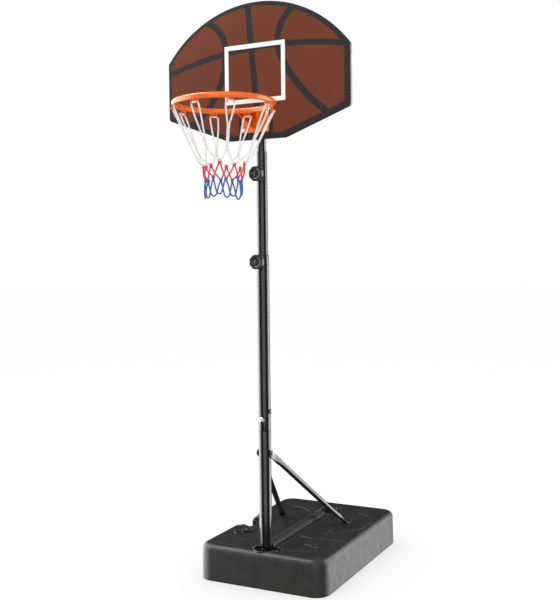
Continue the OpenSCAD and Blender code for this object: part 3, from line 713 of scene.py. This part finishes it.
def tank_field(x, y, z):
    """Closed tank: its block, then lips, pockets, notch, filler hole, grooves and swage."""
    side = rectangle(x, y - BASE_MID_Y, BASE_HALF_W, BASE_HALF_L, BASE_CORNER) + BASE_DRAFT * z / BASE_H
    top = z - BASE_H
    d = meet(meet(side, top, BASE_EDGE), -z, 4)
    # rolled lips round the foot pocket, the cross slot, the channel and the hand pocket
    foot = np.hypot(x, y - FOOT_Y) - FOOT_R
    slot = rectangle(x - 7, y, 51, 14, 8)
    channel = rectangle(x, y - CHANNEL_END / 2, CHANNEL_HALF, CHANNEL_END / 2, 6)
    hand = rectangle(x, y - 529, 30, 45, 10)
    plan = join(np.minimum(foot, slot), np.minimum(channel, hand), 5)
    d = join(d, np.hypot(plan - 3.2, top + 0.4) - 2.4, 1.6)
    for plan, floor, r in ((foot, FOOT_Z, 6), (slot, 95, 4), (channel, CHANNEL_Z, 4), (hand, 60, 8)):
        d = cut(d, meet(plan, floor - z, r), 2.0)
    d = cut(d, meet(np.hypot(x, y) - 22.4, 12 - z, 1), 1.0)
    notch = rectangle(x + 250, y - (NOTCH_Y0 + NOTCH_Y1) / 2, 250 + NOTCH_X, (NOTCH_Y1 - NOTCH_Y0) / 2, 10)
    d = cut(d, notch, 5)
    hole = np.hypot(x + 176, y - 120) - 15.5
    d = cut(d, meet(hole, 20 - z, 1), 0.8)
    # shallow grooves that stiffen the top
    for a, b in GROOVES:
        d = cut(d, np.hypot(segment(x, y, a, b), top - 0.5) - 2.6, 1.0)
    loop = np.hypot(np.hypot(x - 132, (y - 405) / 1.5) - 92, top - 0.5) - 2.5
    d = cut(d, np.maximum(loop, 128 - x), 1.0)
    bow = np.hypot(np.hypot(x + 173, y - 385) - 158, top - 0.5) - 2.5
    d = cut(d, np.maximum(np.maximum(bow, x + 48), np.maximum(360 - y, -165 - x)), 1.0)
    # a slight swage that runs along the right of the channel
    ridge = np.minimum.reduce([segment(x, y, a, b) for a, b in zip(SWAGE, SWAGE[1:])])
    return join(d, np.hypot(ridge, top + 1.1) - 2.8, 2.5)


def make_tank():
    margin = 6
    place_field(tank_field, TANK_LOW - margin, TANK_HIGH + margin, 2.0, "tank_shell", "stand", TANK,
                "base_tank", 0.3)


FILL = move(-176, 120, 0) @ turn("Z", 51)
HINGE_X, HINGE_Z = 19.5, BASE_H + 7.3


def make_filler():
    """Collar with its rolled rim and hinge lugs, and the cap lying open."""
    top = BASE_H + 5
    collar = Shape().add(turned([(15.4, BASE_H - 3), (15.4, BASE_H), (18, BASE_H), (18, top), (13.05, top),
                                 (13.05, BASE_H - 3)], [0.3, 0, 0.6, 1.9, 1.4, 0.3], 4), FILL)
    for s in (-1, 1):
        collar.add(box(HINGE_X - 4, HINGE_X + 2.5, s * 6.5 - 1, s * 6.5 + 1, BASE_H + 0.05, HINGE_Z + 2), FILL)
    collar.add(disc(1, 13, 0.2), FILL @ move(HINGE_X, -6.5, HINGE_Z) @ ALONG_Y)
    place(collar, "filler_collar", "stand", TANK, "fill_collar")
    swing = FILL @ move(HINGE_X, 0, HINGE_Z) @ turn("Y", 190) @ move(-HINGE_X, 0, -HINGE_Z)
    outside = [(0, -0.6), (10, -0.6), (10, -4), (12, -4), (12, 0.2), (14.5, 0.2), (14.5, 3.2), (9.5, 3.2),
               (8.5, 2.7), (0, 2.7)]
    cap = Shape().add(turned_solid([(r, top + z) for r, z in outside],
                                   [0, 0.6, 0.5, 0.6, 0.3, 0.5, 1.0, 0.4, 0.4, 0]), swing)
    cap.add(box(12, HINGE_X, -4, 4, top + 1.0, top + 3.2, 0.6), swing)
    tube = turned([(2.1, 0), (2.1, 9.6), (1.06, 9.6), (1.06, 0)], 0.25, 2, 32)
    cap.add(tube, swing @ move(HINGE_X, -4.8, HINGE_Z) @ ALONG_Y)
    place(cap, "filler_cap", "cap", TANK, "fill_cap")


def make_wheel(node, body):
    """Moulded wheel with two grooves round its tread and six ribs on its dished sides."""
    low, high = node_box(node)
    cx, cy, cz = (low + high) / 2
    rim = (high[2] - low[2]) / 2
    spoke = 2 * math.pi / 6

    def wheel_field(x, y, z):
        r, w = np.hypot(x - cx, z - cz), np.abs(y - cy)
        d = meet(r - rim, w - 15, 4)
        for groove in (0, 7.5):
            d = cut(d, np.hypot(r - rim - 0.5, w - groove) - 1.9, 0.6)
        angle = np.mod(np.arctan2(z - cz, x - cx), spoke) - spoke / 2
        rib = np.abs(r * np.sin(angle)) - 2.2
        dish = meet(meet(r - rim + 9, 11 - r, 2.5), 9.2 - w, 1.5)
        d = cut(d, meet(dish, -rib, 2), 1.2)
        return cut(d, r - 5.08, 0.6)

    place_field(wheel_field, low - 3, high + 3, 1.1, node + "_tyre", body, WHEEL, node, 0.45)


# ---------- struts ----------

STRUT_Z = 466
NECK_CROSS_Z, NECK_FRONT_Z = 612, 584
IN_CHANNEL = move(0, 0, 124) @ ALONG_Y

def flat_section(width, thick, n):
    """Section between a round tube and a flattened one."""
    power = 1.0 if abs(width - thick) < 0.5 else 0.45
    turns = [2 * math.pi * (i + 0.5) / n for i in range(n)]
    return [(math.copysign(abs(math.sin(a)) ** power, math.sin(a)) * thick,
             math.copysign(abs(math.cos(a)) ** power, math.cos(a)) * width) for a in turns]


def make_strut(side):
    """Tube whose two ends are pressed flat and bent."""
    top, foot = np.array([25.5, 0, STRUT_Z]), np.array([140, 418, BASE_H + 2.1])
    plate_r, plate_t, tube_r, n = 12, 2.0, 10, 24
    fall = foot - top
    along_top = unit([0, fall[1], fall[2]])
    along_foot = unit([fall[0], fall[1], 0])
    top_end, bend = top + 28 * along_top, foot - 20 * along_foot
    along = unit(bend - top_end)
    length = np.linalg.norm(bend - top_end)
    # each station is a point, the half width and half thickness there, and how far the section has turned
    round_end = [(s, plate_r * math.sqrt(max(1 - (min(s, 0) / plate_r) ** 2, 0.02)))
                 for s in (-12, -11.6, -10.5, -8.5, -5, 0)]
    stations = [(top + s * along_top, w, plate_t, 0) for s, w in round_end + [(6, plate_r), (14, plate_r)]]
    for s, w, t in ((20, 12.5, 2.2), (28, 12.5, 2.8), (38, 12.2, 4.0), (50, 11.4, 6.2), (62, 10.5, 8.6),
                    (74, 10, 10)):
        stations.append((top + s * along_top if s <= 28 else top_end + (s - 28) * along, w, t, 0))
    for k in range(1, 9):
        stations.append((top_end + along * (46 + (length - 116) * k / 8), tube_r, tube_r, k / 8))
    for s, w, t in ((60, 10.2, 9.2), (50, 11.2, 7.4), (40, 12.0, 5.0), (30, 12.3, 3.2), (20, 12.2, 2.3),
                    (9, 12, 2.0)):
        stations.append((bend - s * along + (0, 0, max(0, t - 2) * 0.25), w, t, 1))
    stations.append((bend - 2 * along, plate_r, plate_t, 1))
    foot_end = [(16, plate_r), (8, plate_r)] + round_end[::-1]
    stations += [(foot - s * along_foot, w, plate_t, 1) for s, w in foot_end]
    tangents = unit(np.gradient(np.array([s[0] for s in stations]), axis=0))
    verts = []
    for (at, width, thick, share), axis in zip(stations, tangents):
        across = np.cross((0, 0, 1), along_foot) * share + np.cross((1, 0, 0), along_top) * (1 - share)
        across = unit(across - axis * (across @ axis))
        normal = np.cross(axis, across)
        verts += [at + a * normal + b * across for a, b in flat_section(width, thick, n)]
    at = Matrix.Identity(4) if side == "right" else MIRROR_X
    place(Shape().add((verts, skin(len(stations), n)), at), f"strut_tube_{side}", "stand", POLE,
          f"strut_{side}", sharp=50)


# ---------- tubes and fasteners ----------


def sleeve(r, top, length):
    """Plastic collar in a tube's mouth, with a lip as wide as the tube."""
    fit, bore, lip = r - 1.3, r - 2.88, top - 1.95
    return turned([(fit, top - length), (fit, lip), (r, lip), (r, top), (bore, top), (bore, top - length)],
                  [0.2, 0, 0.3, 0.7, 0.5, 0.2], 3, 96)


def make_tubes():
    """The pole's tubes and bushes, and the tube in the channel."""
    foot = Shape().add(pipe(22, 20.8, 15.2, 544.6, 0.95)).add(pipe(20.6, 19.4, 540, 640, 0.4))
    place(foot, "foot_tube", "stand", POLE, "pole_foot")
    place(pipe(22, 20.8, 545.2, 1158, 0.95), "lower_tube", "stand", POLE, "pole_lower")
    place(sleeve(22, 1160, 18), "lower_collar", "stand", BLACK_PLASTIC, "lower_bush")
    place(sleeve(19, 1516, 54), "upper_collar", "middle_mast", BLACK_PLASTIC, "upper_bush")
    place(pipe(16, 14.8, 1310, 1886, 0.5), "upper_tube", "head", POLE, "pole_upper")
    cap = turned_solid([(0, 1870), (14.7, 1870), (14.7, 1886.05), (16, 1886.05), (16, 1887.5), (10, 1889.4),
                        (0, 1890)], [0, 1, 0, 0.2, 0.8, 3, 0], 4)
    place(cap, "top_plug", "head", BLACK_PLASTIC, "pole_top_cap")
    tube = Shape().add(pipe(19, 17.8, 22.5, 474.8, 0.5), IN_CHANNEL)
    place(tube, "channel_tube", "stand", CHANNEL_TUBE, "base_tube")
    plug = turned_solid([(0, 460), (17.7, 460), (17.7, 475), (19, 475), (19, 478), (0, 478)],
                        [0, 1, 0, 0.3, 1.2, 0])
    place(Shape().add(plug, IN_CHANNEL), "channel_tube_plug", "stand", BLACK_PLASTIC, "base_tube_cap")


def saddle(outer, inner, foot):
    """Outline of a strap over a tube. foot lists the corners of its right end from the inside out."""
    return foot + arc(outer, 0, 180, 30) + [(-x, y) for x, y in foot[::-1]] + arc(inner, 180, 0, 30)


def make_clip():
    """Dark saddle that holds the tube down in its channel."""
    clip = prism(saddle(20.6, 19.05, [(19.05, -18.6), (20.6, -18.6)]), 365, 401, 0.4)
    place(Shape().add(clip, move(0, 0, 124) @ ALONG_MINUS_Y @ MIRROR_Z), "tube_saddle", "stand", SADDLE_AND_POCKET_SHADE,
          "tube_clip")


def make_fasteners():
    """Heads, nuts and washers that show."""
    out = 27.5
    # piece, node, material, spot, way out, way in, head, where the shank starts and its length
    for name, node, material, spot, away, along, head, back, length in (
            ("strut_bolt_head", "strut_bolt", POLE, (-out, 0, STRUT_Z), ALONG_MINUS_X, ALONG_X,
             (10, 3, 0.8), 0, 62.5),
            ("neck_cross_screw", "neck_cross_bolt", ZINC, (-22, 0, NECK_CROSS_Z), ALONG_MINUS_X, ALONG_X,
             (7.5, 5, 1.2), -3, 58),
            ("neck_front_screw", "neck_front_bolt", ZINC, (0, -22, NECK_FRONT_Z), ALONG_MINUS_Y, ALONG_Y,
             (10, 5.5, 1.0), 0, 56)):
        bolt = Shape().add(dome(*head), move(*spot) @ away)
        bolt.add(disc(4, length), move(*spot) @ along @ move(0, 0, back))
        place(bolt, name, "stand", material, node)
    for name, node, spot, along, flats, height in (
            ("strut_bolt_nut", "strut_nut", (out, 0, STRUT_Z), ALONG_X, 13, 6.5),
            ("neck_cross_locknut", "neck_cross_nut", (22.2, 0, NECK_CROSS_Z), ALONG_X, 15, 7.5),
            ("neck_front_locknut", "neck_front_nut", (0, 22.2, NECK_FRONT_Z), ALONG_Y, 13, 7)):
        nut = Shape().add(hex_head(flats, height, 4.05), move(*spot) @ along)
        place(nut, name, "stand", ZINC, node)
    low, washers = Shape(), Shape()
    washer = turned([(10, -0.7), (10, 0.7), (4.05, 0.7), (4.05, -0.7)], 0.3, 2)
    for s in (-1, 1):
        low.add(dome(8, 3.9, 0.7), move(s * 140, 418, BASE_H + 4.1))
        washers.add(washer, move(s * 22.8, 0, STRUT_Z) @ ALONG_X)
    place(low, "strut_foot_screws", "stand", POLE, "strut_foot_bolts")
    place(washers, "strut_spacers", "stand", POLE, "strut_washers")


# ---------- knobs ----------

def make_knob(node, body):
    """Clamp knob with eight lobes, a dished face and a collar behind."""
    low, high = node_box(node)
    cz = (low[2] + high[2]) / 2
    front, back = low[1], low[1] + 16
    lobe = 2 * math.pi / 8

    def knob_field(x, y, z):
        r = np.hypot(x, z - cz)
        angle = np.mod(np.arctan2(z - cz, x), lobe) - lobe / 2
        plan = r - 25.7 - 0.7 * np.cos(8 * angle)
        d = meet(meet(plan, front - y, 3.2), y - back, 2.4)
        wall = (r - 18.4 + 1.1 * (y - front)) / 1.487
        d = cut(d, meet(wall, y - front - 4.2, 1.2), 1.2)
        button = np.sqrt(r ** 2 + (y - front - 24) ** 2) - 21.6
        d = join(d, np.maximum(button, r - 11), 1.0)
        hub = meet(r - 13, y - high[1], 1.5)
        return join(d, meet(hub, back - 2 - y, 0.1), 2.0)

    place_field(knob_field, low - 3, high + 3, 0.75, node + "_grip", body, KNOB, node, 0.5)


# ---------- board ----------

def board_outline(d):
    """Outline of the board in X and Z, moved inwards by d, anticlockwise seen from the front."""
    x = HALF_W - d
    x_flat = FLAT_HALF - d * math.tan(SLANT / 2)
    z_low = BOARD_Z0 + d
    z_side = z_low + (x - x_flat) * math.tan(SLANT)
    r = ARC_R - d
    reach = math.asin(x / r)
    z_arc = ARC_Z + math.sqrt(r * r - x * x)
    near = reach - math.radians(4)
    corner = max(14 - d / 2, 2)
    loop = rounded([(0, z_low), (x_flat, z_low), (x, z_side), (x, z_arc),
                    (r * math.sin(near), ARC_Z + r * math.cos(near))], [0, corner, corner, corner, 0], 8, closed=False)
    half = [(px, pz) for px, pz in loop[1:]]
    top = arc(r, 90 - math.degrees(near), 90 + math.degrees(near), 40)[1:-1]
    return half + [(px, ARC_Z + pz) for px, pz in top] + [(-px, pz) for px, pz in half[::-1]]


ON_BOARD = Matrix(((1, 0, 0, 0), (0, 0, 1, 0), (0, 1, 0, 0), (0, 0, 0, 1)))
BOARD_FRONT, PANEL_BACK = BOARD_LOW[1], BOARD_HIGH[1]


def make_panel():
    """Printed sheet with rounded edges. Its face is printed and its edge and back are plain."""
    panel = Shape().add(prism(board_outline(0), BOARD_FRONT, PANEL_BACK, 1.2, 4), ON_BOARD)
    piece = place(panel, "printed_board", "head", BOARD, "board_panel")
    piece.data.materials.append(BLACK_PLASTIC)
    for face in piece.data.polygons:
        face.material_index = 0 if face.normal.y < -0.5 else 1


def square_tube(half, edge=2.0):
    return bar_outline(-half, half, -half, half, edge)


def make_frame():
    """Square tube behind the edge of the board, in an upper and a lower half with joiners."""
    half, inset_by = 7.5, 9
    middle_y = PANEL_BACK + half
    loop = board_outline(inset_by)
    ring = np.array([(x, middle_y, z) for x, z in loop + loop[:1]])
    gap = (node_box("board_frame_lower")[1][2], node_box("board_frame_upper")[0][2])

    def stretch(keep_above, z_limit, name, node):
        """The part of the loop on one side of a height, cut square at it."""
        path = []
        for a, b in zip(ring, ring[1:]):
            in_a, in_b = ((p[2] > z_limit) == keep_above for p in (a, b))
            if in_a:
                path.append(a)
            if in_a != in_b:
                path.append(a + (b - a) * (z_limit - a[2]) / (b[2] - a[2]))
        path = np.array(path)
        jump = np.argmax(np.linalg.norm(path - np.roll(path, 1, 0), axis=1))
        path = np.roll(path, -jump, 0)
        path = path[np.concatenate([[True], np.linalg.norm(np.diff(path, axis=0), axis=1) > 0.01])]
        place(sweep(path, square_tube(half), first=(0, 1, 0)), name, "head", FRAME, node, sharp=50)

    stretch(True, gap[1], "frame_tube_upper", "board_frame_upper")
    stretch(False, gap[0], "frame_tube_lower", "board_frame_lower")
    joiners = Shape()
    for s in (-1, 1):
        x = s * (HALF_W - inset_by)
        inner = [(x + a, middle_y + b) for a, b in square_tube(6.3, 1.5)]
        joiners.add(prism(inner, gap[0] - 12, gap[1] + 12, 0.4))
    place(joiners, "frame_sleeves", "head", FRAME, "frame_joiners")

    for node in ("crossbar_upper", "crossbar_lower"):
        low, high = node_box(node)
        _, hy, hz = (high - low) / 2
        _, cy, cz = (high + low) / 2
        bar = prism(bar_outline(-hz, hz, -hy, hy, 2.2), low[0], high[0], 0.3)
        at = move(0, cy, cz) @ Matrix(((0, 0, 1, 0), (0, 1, 0, 0), (1, 0, 0, 0), (0, 0, 0, 1)))
        place(Shape().add(bar, at), node + "_tube", "head", FRAME, node, sharp=50)


def make_clamps():
    """Saddles that hold the crossbars to the pole, with their bolts and the panel's screws."""
    bar_back = node_box("crossbar_upper")[1][1]
    strap_back = bar_back + 2.5
    outline = saddle(18.5, 16.05, [(16.05, bar_back), (40, bar_back), (40, strap_back), (18.5, strap_back)])
    clamps, bolts, screws = Shape(), Shape(), Shape()
    for node in ("crossbar_lower", "crossbar_upper"):
        z = sum(corner[2] for corner in node_box(node)) / 2
        clamps.add(prism(outline, z - 10, z + 10, 0.4))
        for x in (-30, 30):
            at = move(x, strap_back, z) @ ALONG_Y
            bolts.add(disc(6.5, 1, 0.3), at)
            bolts.add(hex_head(10, 4), at @ move(0, 0, 0.9))
    place(clamps, "pole_saddles", "head", POLE, "pole_clamps")
    place(bolts, "saddle_bolts", "head", ZINC, "clamp_bolts")
    spots = [(s * (HALF_W - 9), 1710) for s in (-1, 1)]
    spots += [(s * 230, BOARD_Z0 + 10 + (230 - FLAT_HALF) * math.tan(SLANT)) for s in (-1, 1)]
    for degrees in (-42, -15, 15, 42):
        a = math.radians(degrees)
        spots.append(((ARC_R - 9) * math.sin(a), ARC_Z + (ARC_R - 9) * math.cos(a)))
    for x, z in spots:
        screws.add(dome(4, 2.4, 0.5), move(x, PANEL_BACK + 15, z) @ ALONG_Y)
    place(screws, "panel_screw_heads", "head", ZINC, "panel_screws")


# ---------- ring ----------

RING_LOW, RING_HIGH = node_box("ring_hoop")
RING_Y, RING_Z = (RING_LOW[1] + RING_HIGH[1]) / 2, (RING_LOW[2] + RING_HIGH[2]) / 2
ROD_R = (RING_HIGH[2] - RING_LOW[2]) / 2
RING_R = (RING_HIGH[0] - RING_LOW[0]) / 2 - ROD_R
HOOK_ANGLES = [-3, 42, 91, 132, 177, 222, 267, 307]
HOOK_BEND, HOOK_LOW = 4.5, -19


def make_ring():
    loop = [(x, RING_Y + y, RING_Z) for x, y in ring_section(RING_R, 192)]
    ring = sweep(loop, ring_section(ROD_R, 28), closed=True, first=(0, 0, 1))
    place(ring, "rim", "head", RING, "ring_hoop", sharp=60)


def make_hooks():
    """Eight wire hooks under the ring, each with two ends that curl outwards."""
    hooks = Shape()
    wire_r = 1.9
    bar = 0.6 - ROD_R - wire_r
    for angle in HOOK_ANGLES:
        half = [(0, 0, bar), (0, 5, bar), (0, 8.3, bar - 0.3), (0, 9.7, bar - 1.8), (0, 10, bar - 4),
                (0, 10, HOOK_LOW)]
        half += [(HOOK_BEND * (1 - math.cos(a)), 10, HOOK_LOW - HOOK_BEND * math.sin(a))
                 for a in (math.radians(d) for d in (30, 60, 90, 120, 150, 180))]
        half.append((9.4, 10, HOOK_LOW + 3))
        points = [(x, -y, z) for x, y, z in half[:0:-1]] + half
        hooks.add(wire(points, wire_r), move(0, RING_Y, RING_Z) @ turn("Z", angle) @ move(RING_R, 0, 0))
    place(hooks, "hook_wires", "head", RING, "net_hooks", sharp=60)


def slab(corners, thick, edge=0.7):
    """Flat plate from the corners of one face, thickened along their normal, and where it goes."""
    c = np.asarray(corners, float)
    x_axis = unit(c[1] - c[0])
    normal = unit(np.cross(c[1] - c[0], c[2] - c[0]))
    y_axis = np.cross(normal, x_axis)
    flat = [((p - c[0]) @ x_axis, (p - c[0]) @ y_axis) for p in c]
    at = move(*c[0]) @ Matrix((x_axis, y_axis, normal)).transposed().to_4x4()
    return prism(rounded(flat, edge * 1.02, 3), 0, thick, edge), at, normal


def make_bracket():
    """Folded bracket: a plate on the board, a tongue to the ring and two webs that slant inwards."""
    low, high = node_box("ring_bracket")
    root, end = BOARD_FRONT, RING_Y + RING_R - 7
    plate = bar_outline(-high[0], high[0], low[2], high[2], 5, 6)
    bracket = Shape().add(prism(plate, root - 2.5, root - 0.05, 0.5), ON_BOARD)
    tongue = rounded([(-38, root - 1), (-45, end), (45, end), (38, root - 1)], 1, 2)
    bracket.add(prism(tongue, RING_Z - 1.5, RING_Z + 1.5, 0.5))
    web_low, web_high, web_end, lip = (8, 1590), 37, 44, 6
    lean = (web_high - web_low[0]) / (RING_Z - web_low[1])
    corners = [(web_low[0], root - 1, web_low[1]), (web_end - lip * lean, end, RING_Z - lip),
               (web_end, end, RING_Z), (web_high, root - 1, RING_Z)]
    web, at, out = slab(corners, 3)
    # the free edge of each web is folded back on itself, which leaves a round bead
    a, b = np.array(corners[0]) + out * 1.5, np.array(corners[1]) + out * 1.5
    bead = sweep([a + (b - a) * t for t in (0.01, 0.2, 0.4, 0.6, 0.8, 0.97)], ring_section(2.0))
    for side in (Matrix.Identity(4), MIRROR_X):
        bracket.add(web, side @ at)
        bracket.add(bead, side)
    place(bracket, "rim_bracket", "head", RING, "ring_bracket")
    bolts, nuts = Shape(), Shape()
    for x in (-45, 45):
        for z in (1587, 1641):
            at = move(x, root - 2.5, z) @ ALONG_MINUS_Y
            bolts.add(disc(6, 0.8, 0.3), at)
            bolts.add(dome(4.8, 2.8, 0.6), at @ move(0, 0, 0.7))
            nuts.add(hex_head(10, 5), move(x, PANEL_BACK + 2.5, z) @ ALONG_Y)
    place(bolts, "bracket_screws", "head", ZINC, "bracket_bolts")
    place(nuts, "bracket_locknuts", "head", ZINC, "bracket_nuts")
    low, high = node_box("ring_backplate")
    plate = box(low[0], high[0], low[2], high[2], low[1], high[1])
    place(Shape().add(plate, ON_BOARD), "rim_backplate", "head", FRAME, "ring_backplate")


# ---------- net ----------

CORD_R = 2.9


def cord(points, twist_length=9.0):
    """Three-strand cord through the points: a lobed section that turns as it goes."""
    path = smooth_path(points, 1.6)
    length = np.linalg.norm(np.diff(path, axis=0), axis=1).sum()
    turns = [2 * math.pi * i / 12 for i in range(12)]
    lobed = [CORD_R * (0.93 + 0.09 * math.cos(3 * a)) for a in turns]
    section = [(r * math.cos(a), r * math.sin(a)) for r, a in zip(lobed, turns)]
    return sweep(path, section, twist=length / twist_length)


def knot(at, around, r=4.4):
    """Overhand knot: two crossed turns of cord round the point."""
    axis = unit(around)
    side = unit(np.cross(axis, (0.3, 0.2, 1)))
    other = np.cross(axis, side)
    turns = [2 * math.pi * k / 28 for k in range(28)]
    path = [at + side * r * math.cos(2 * a) + other * r * 0.8 * math.sin(2 * a) + axis * 3.4 * math.sin(a)
            for a in turns]
    return sweep(path, ring_section(CORD_R * 0.82, 8), closed=True)


def make_net():
    """Eight loops on the hooks, white above, then a row of red and a row of blue that hangs free."""
    count = len(HOOK_ANGLES)
    wobble = [0.6, -1.0, 0.4, 0.9, -0.5, -0.9, 1.0, -0.3]
    lean = np.array([-5.0, -2.0, 0])

    def outward(angle):
        return np.array([math.cos(math.radians(angle)), math.sin(math.radians(angle)), 0])

    def spot(angle, radius, z):
        return (0, RING_Y, z) + radius * outward(angle) + lean * (RING_Z - z) / 300

    def between(i):
        a, b = HOOK_ANGLES[i], HOOK_ANGLES[(i + 1) % count]
        return a + ((b - a) % 360) / 2

    white, red, blue = Shape(), Shape(), Shape()
    meets = [spot(a + 2 * w, 99 + 3 * w, 1487 + 4 * w) for a, w in zip(HOOK_ANGLES, wobble)]
    heights = [(1557 if i == 7 else 1507) + 5 * w for i, w in enumerate(wobble)]
    closes = [spot(a + w, 107 + 0.42 * (z - 1507), z) for a, w, z in zip(HOOK_ANGLES, wobble, heights)]
    reds = [spot(between(i) + 3 * w, 67 + 2 * w, 1447 + 7 * w) for i, w in enumerate(wobble)]
    blues = [spot(a - 3 * w, 57 - 2 * w, 1401 + 5 * w) for a, w in zip(HOOK_ANGLES, wobble)]
    for i, angle in enumerate(HOOK_ANGLES):
        out, along = outward(angle), outward(angle + 90)
        seat = np.array([0, RING_Y, RING_Z + HOOK_LOW + 0.4]) + out * (RING_R + HOOK_BEND)
        legs = []
        for s in (-1, 1):
            shoulder = seat + along * s * 13.2 - out * 1.5 - np.array([0, 0, 5])
            pinch = closes[i] + along * s * 2.6
            hang = shoulder * 0.7 + pinch * 0.3 + along * s * (1.8 - wobble[i] * s * 0.6)
            low = shoulder * 0.3 + pinch * 0.7 + along * s * 0.5
            legs.append([shoulder, hang, low, pinch, meets[i] + along * s * 2.4])
        arch = [seat + along * s - np.array([0, 0, 0.1 * abs(s)]) for s in (-9, 0, 9)]
        white.add(cord(legs[0][::-1] + arch + legs[1]))
        white.add(knot(meets[i], (0, 0, 1), 3.4))
        # from each meeting the two cords part to the red knots on either side
        for s, j in ((-1, i - 1), (1, i)):
            start, end = meets[i] + along * s * 2.4, reds[j]
            bow = (start + end) / 2 - np.array([0, 0, 4]) + out * 1.5
            white.add(cord([start, bow, end]))
    for i in range(count):
        red.add(knot(reds[i], (0, 0.3, 1)))
        for end in (blues[i], blues[(i + 1) % count]):
            away = np.array([reds[i][0], reds[i][1] - RING_Y, 0])
            bow = (reds[i] + end) / 2 + unit(away) * 4 - np.array([0, 0, 2])
            red.add(cord([reds[i], bow, end]))
    for i in range(count):
        blue.add(knot(blues[i], (0.2, 0, 1)))
        j = (i + 1) % count
        out = outward(between(i))
        low = 1347 + 6 * wobble[i]
        mid = (blues[i] + blues[j]) / 2 * (1, 1, 0)
        sides = [blues[k] * (0.75, 0.75, 0) + mid * 0.25 + out * 5 for k in (i, j)]
        across = (sides[0] - sides[1]) * 0.28
        bottom = mid + out * 6 + (0, 0, low)
        blue.add(cord([blues[i], sides[0] + (0, 0, low + 33), bottom + across + (0, 0, 7), bottom,
                       bottom - across + (0, 0, 7), sides[1] + (0, 0, low + 33), blues[j]]))
    place(white, "net_white_cord", "head", CORD_WHITE, "net", sharp=80)
    place(red, "net_red_cord", "head", CORD_RED, sharp=80)
    place(blue, "net_blue_cord", "head", CORD_BLUE, sharp=80)


# ---------- carried-over CAD nodes ----------

CARRIED = {
    # the foot bolt takes the near-black matte saddle plastic as painted shade, so it reads as the dark foot pocket
    # round it
    "foot_bolt": SADDLE_AND_POCKET_SHADE, "foot_pin": POLE, "foot_plug": BLACK_PLASTIC, "tube_insert": ZINC, "tank_inserts": BRASS,
    "wheel_axle": ZINC, "axle_spacer": BLACK_PLASTIC, "knob_lower_screw": ZINC, "knob_upper_screw": ZINC,
    "pole_middle": POLE, "middle_glide": BLACK_PLASTIC, "upper_glide": BLACK_PLASTIC,
    "lower_knob_boss": POLE, "upper_knob_boss": POLE,
}


def finish_carried():
    for node, material in CARRIED.items():
        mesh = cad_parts[node].data
        for k in range(len(mesh.materials)):
            mesh.materials[k] = material


# ---------- studio ----------

def make_floor():
    """Wide pale disc, with a little light of its own so that shadows on it stay faint."""
    verts, faces = lathe([(0, 0), (2, 0), (6, 0), (40, 0)], 96)
    mesh = bpy.data.meshes.new("floor")
    mesh.from_pydata(verts, [], [f[::-1] for f in faces])
    finish = Finish("floor_pale", (0.45, 0.45, 0.45), 0.8, Specular_IOR_Level=0.0,
                    Emission_Color=(1, 1, 1, 1), Emission_Strength=0.54)
    mesh.materials.append(finish.material)
    floor = bpy.data.objects.new("floor", mesh)
    scene.collection.objects.link(floor)
    floor.visible_glossy = False


def softbox(name, bearing, distance, z, size, radiance, lights_all=False):
    """Large soft panel that faces the pole from a bearing, in degrees round from the camera's side."""
    a = math.atan2(CAMERA_AT[1], CAMERA_AT[0]) + math.radians(bearing)
    data = bpy.data.lights.new(name, "AREA")
    data.shape = "RECTANGLE"
    data.size, data.size_y = size
    data.energy = radiance * math.pi * size[0] * size[1]
    light = bpy.data.objects.new(name, data)
    light.location = (distance * math.cos(a), distance * math.sin(a), z)
    light.rotation_euler = (Vector((0, 0, 1.0)) - light.location).to_track_quat("-Z", "Y").to_euler()
    light.visible_camera = False
    light.visible_diffuse = lights_all
    scene.collection.objects.link(light)


def make_studio():
    scene.view_settings.view_transform = "Standard"
    world = bpy.data.worlds.new("studio")
    world.use_nodes = True
    background = world.node_tree.nodes["Background"]
    background.inputs["Color"].default_value = (1, 1, 1, 1)
    background.inputs["Strength"].default_value = 1.0
    scene.world = world
    world.cycles_visibility.glossy = False
    # the panels show only in reflections, and give the tubes and edges their bands
    softbox("panel_left_front", -96, 3.2, 1.0, (2.4, 5.0), 4.3)
    softbox("panel_left_back", -133, 3.2, 1.0, (2.2, 5.0), 4.3)
    softbox("panel_right", 105, 3.2, 1.0, (3.0, 5.0), 4.4)
    softbox("panel_front", 0, 3.6, 1.3, (4.0, 5.0), 1.1)
    softbox("panel_high", -95, 1.9, 4.0, (2.4, 1.8), 8.0)
    softbox("key", -40, 1.2, 4.2, (2.6, 2.6), 1.0, lights_all=True)
    make_floor()


make_tank()
make_filler()
make_wheel("wheel_front", "front_wheel")
make_wheel("wheel_rear", "rear_wheel")
for side in ("left", "right"):
    make_strut(side)
make_tubes()
make_clip()
make_fasteners()
make_knob("knob_lower", "lower_knob")
make_knob("knob_upper", "upper_knob")
make_panel()
make_frame()
make_clamps()
make_ring()
make_hooks()
make_bracket()
make_net()
finish_carried()
make_studio()
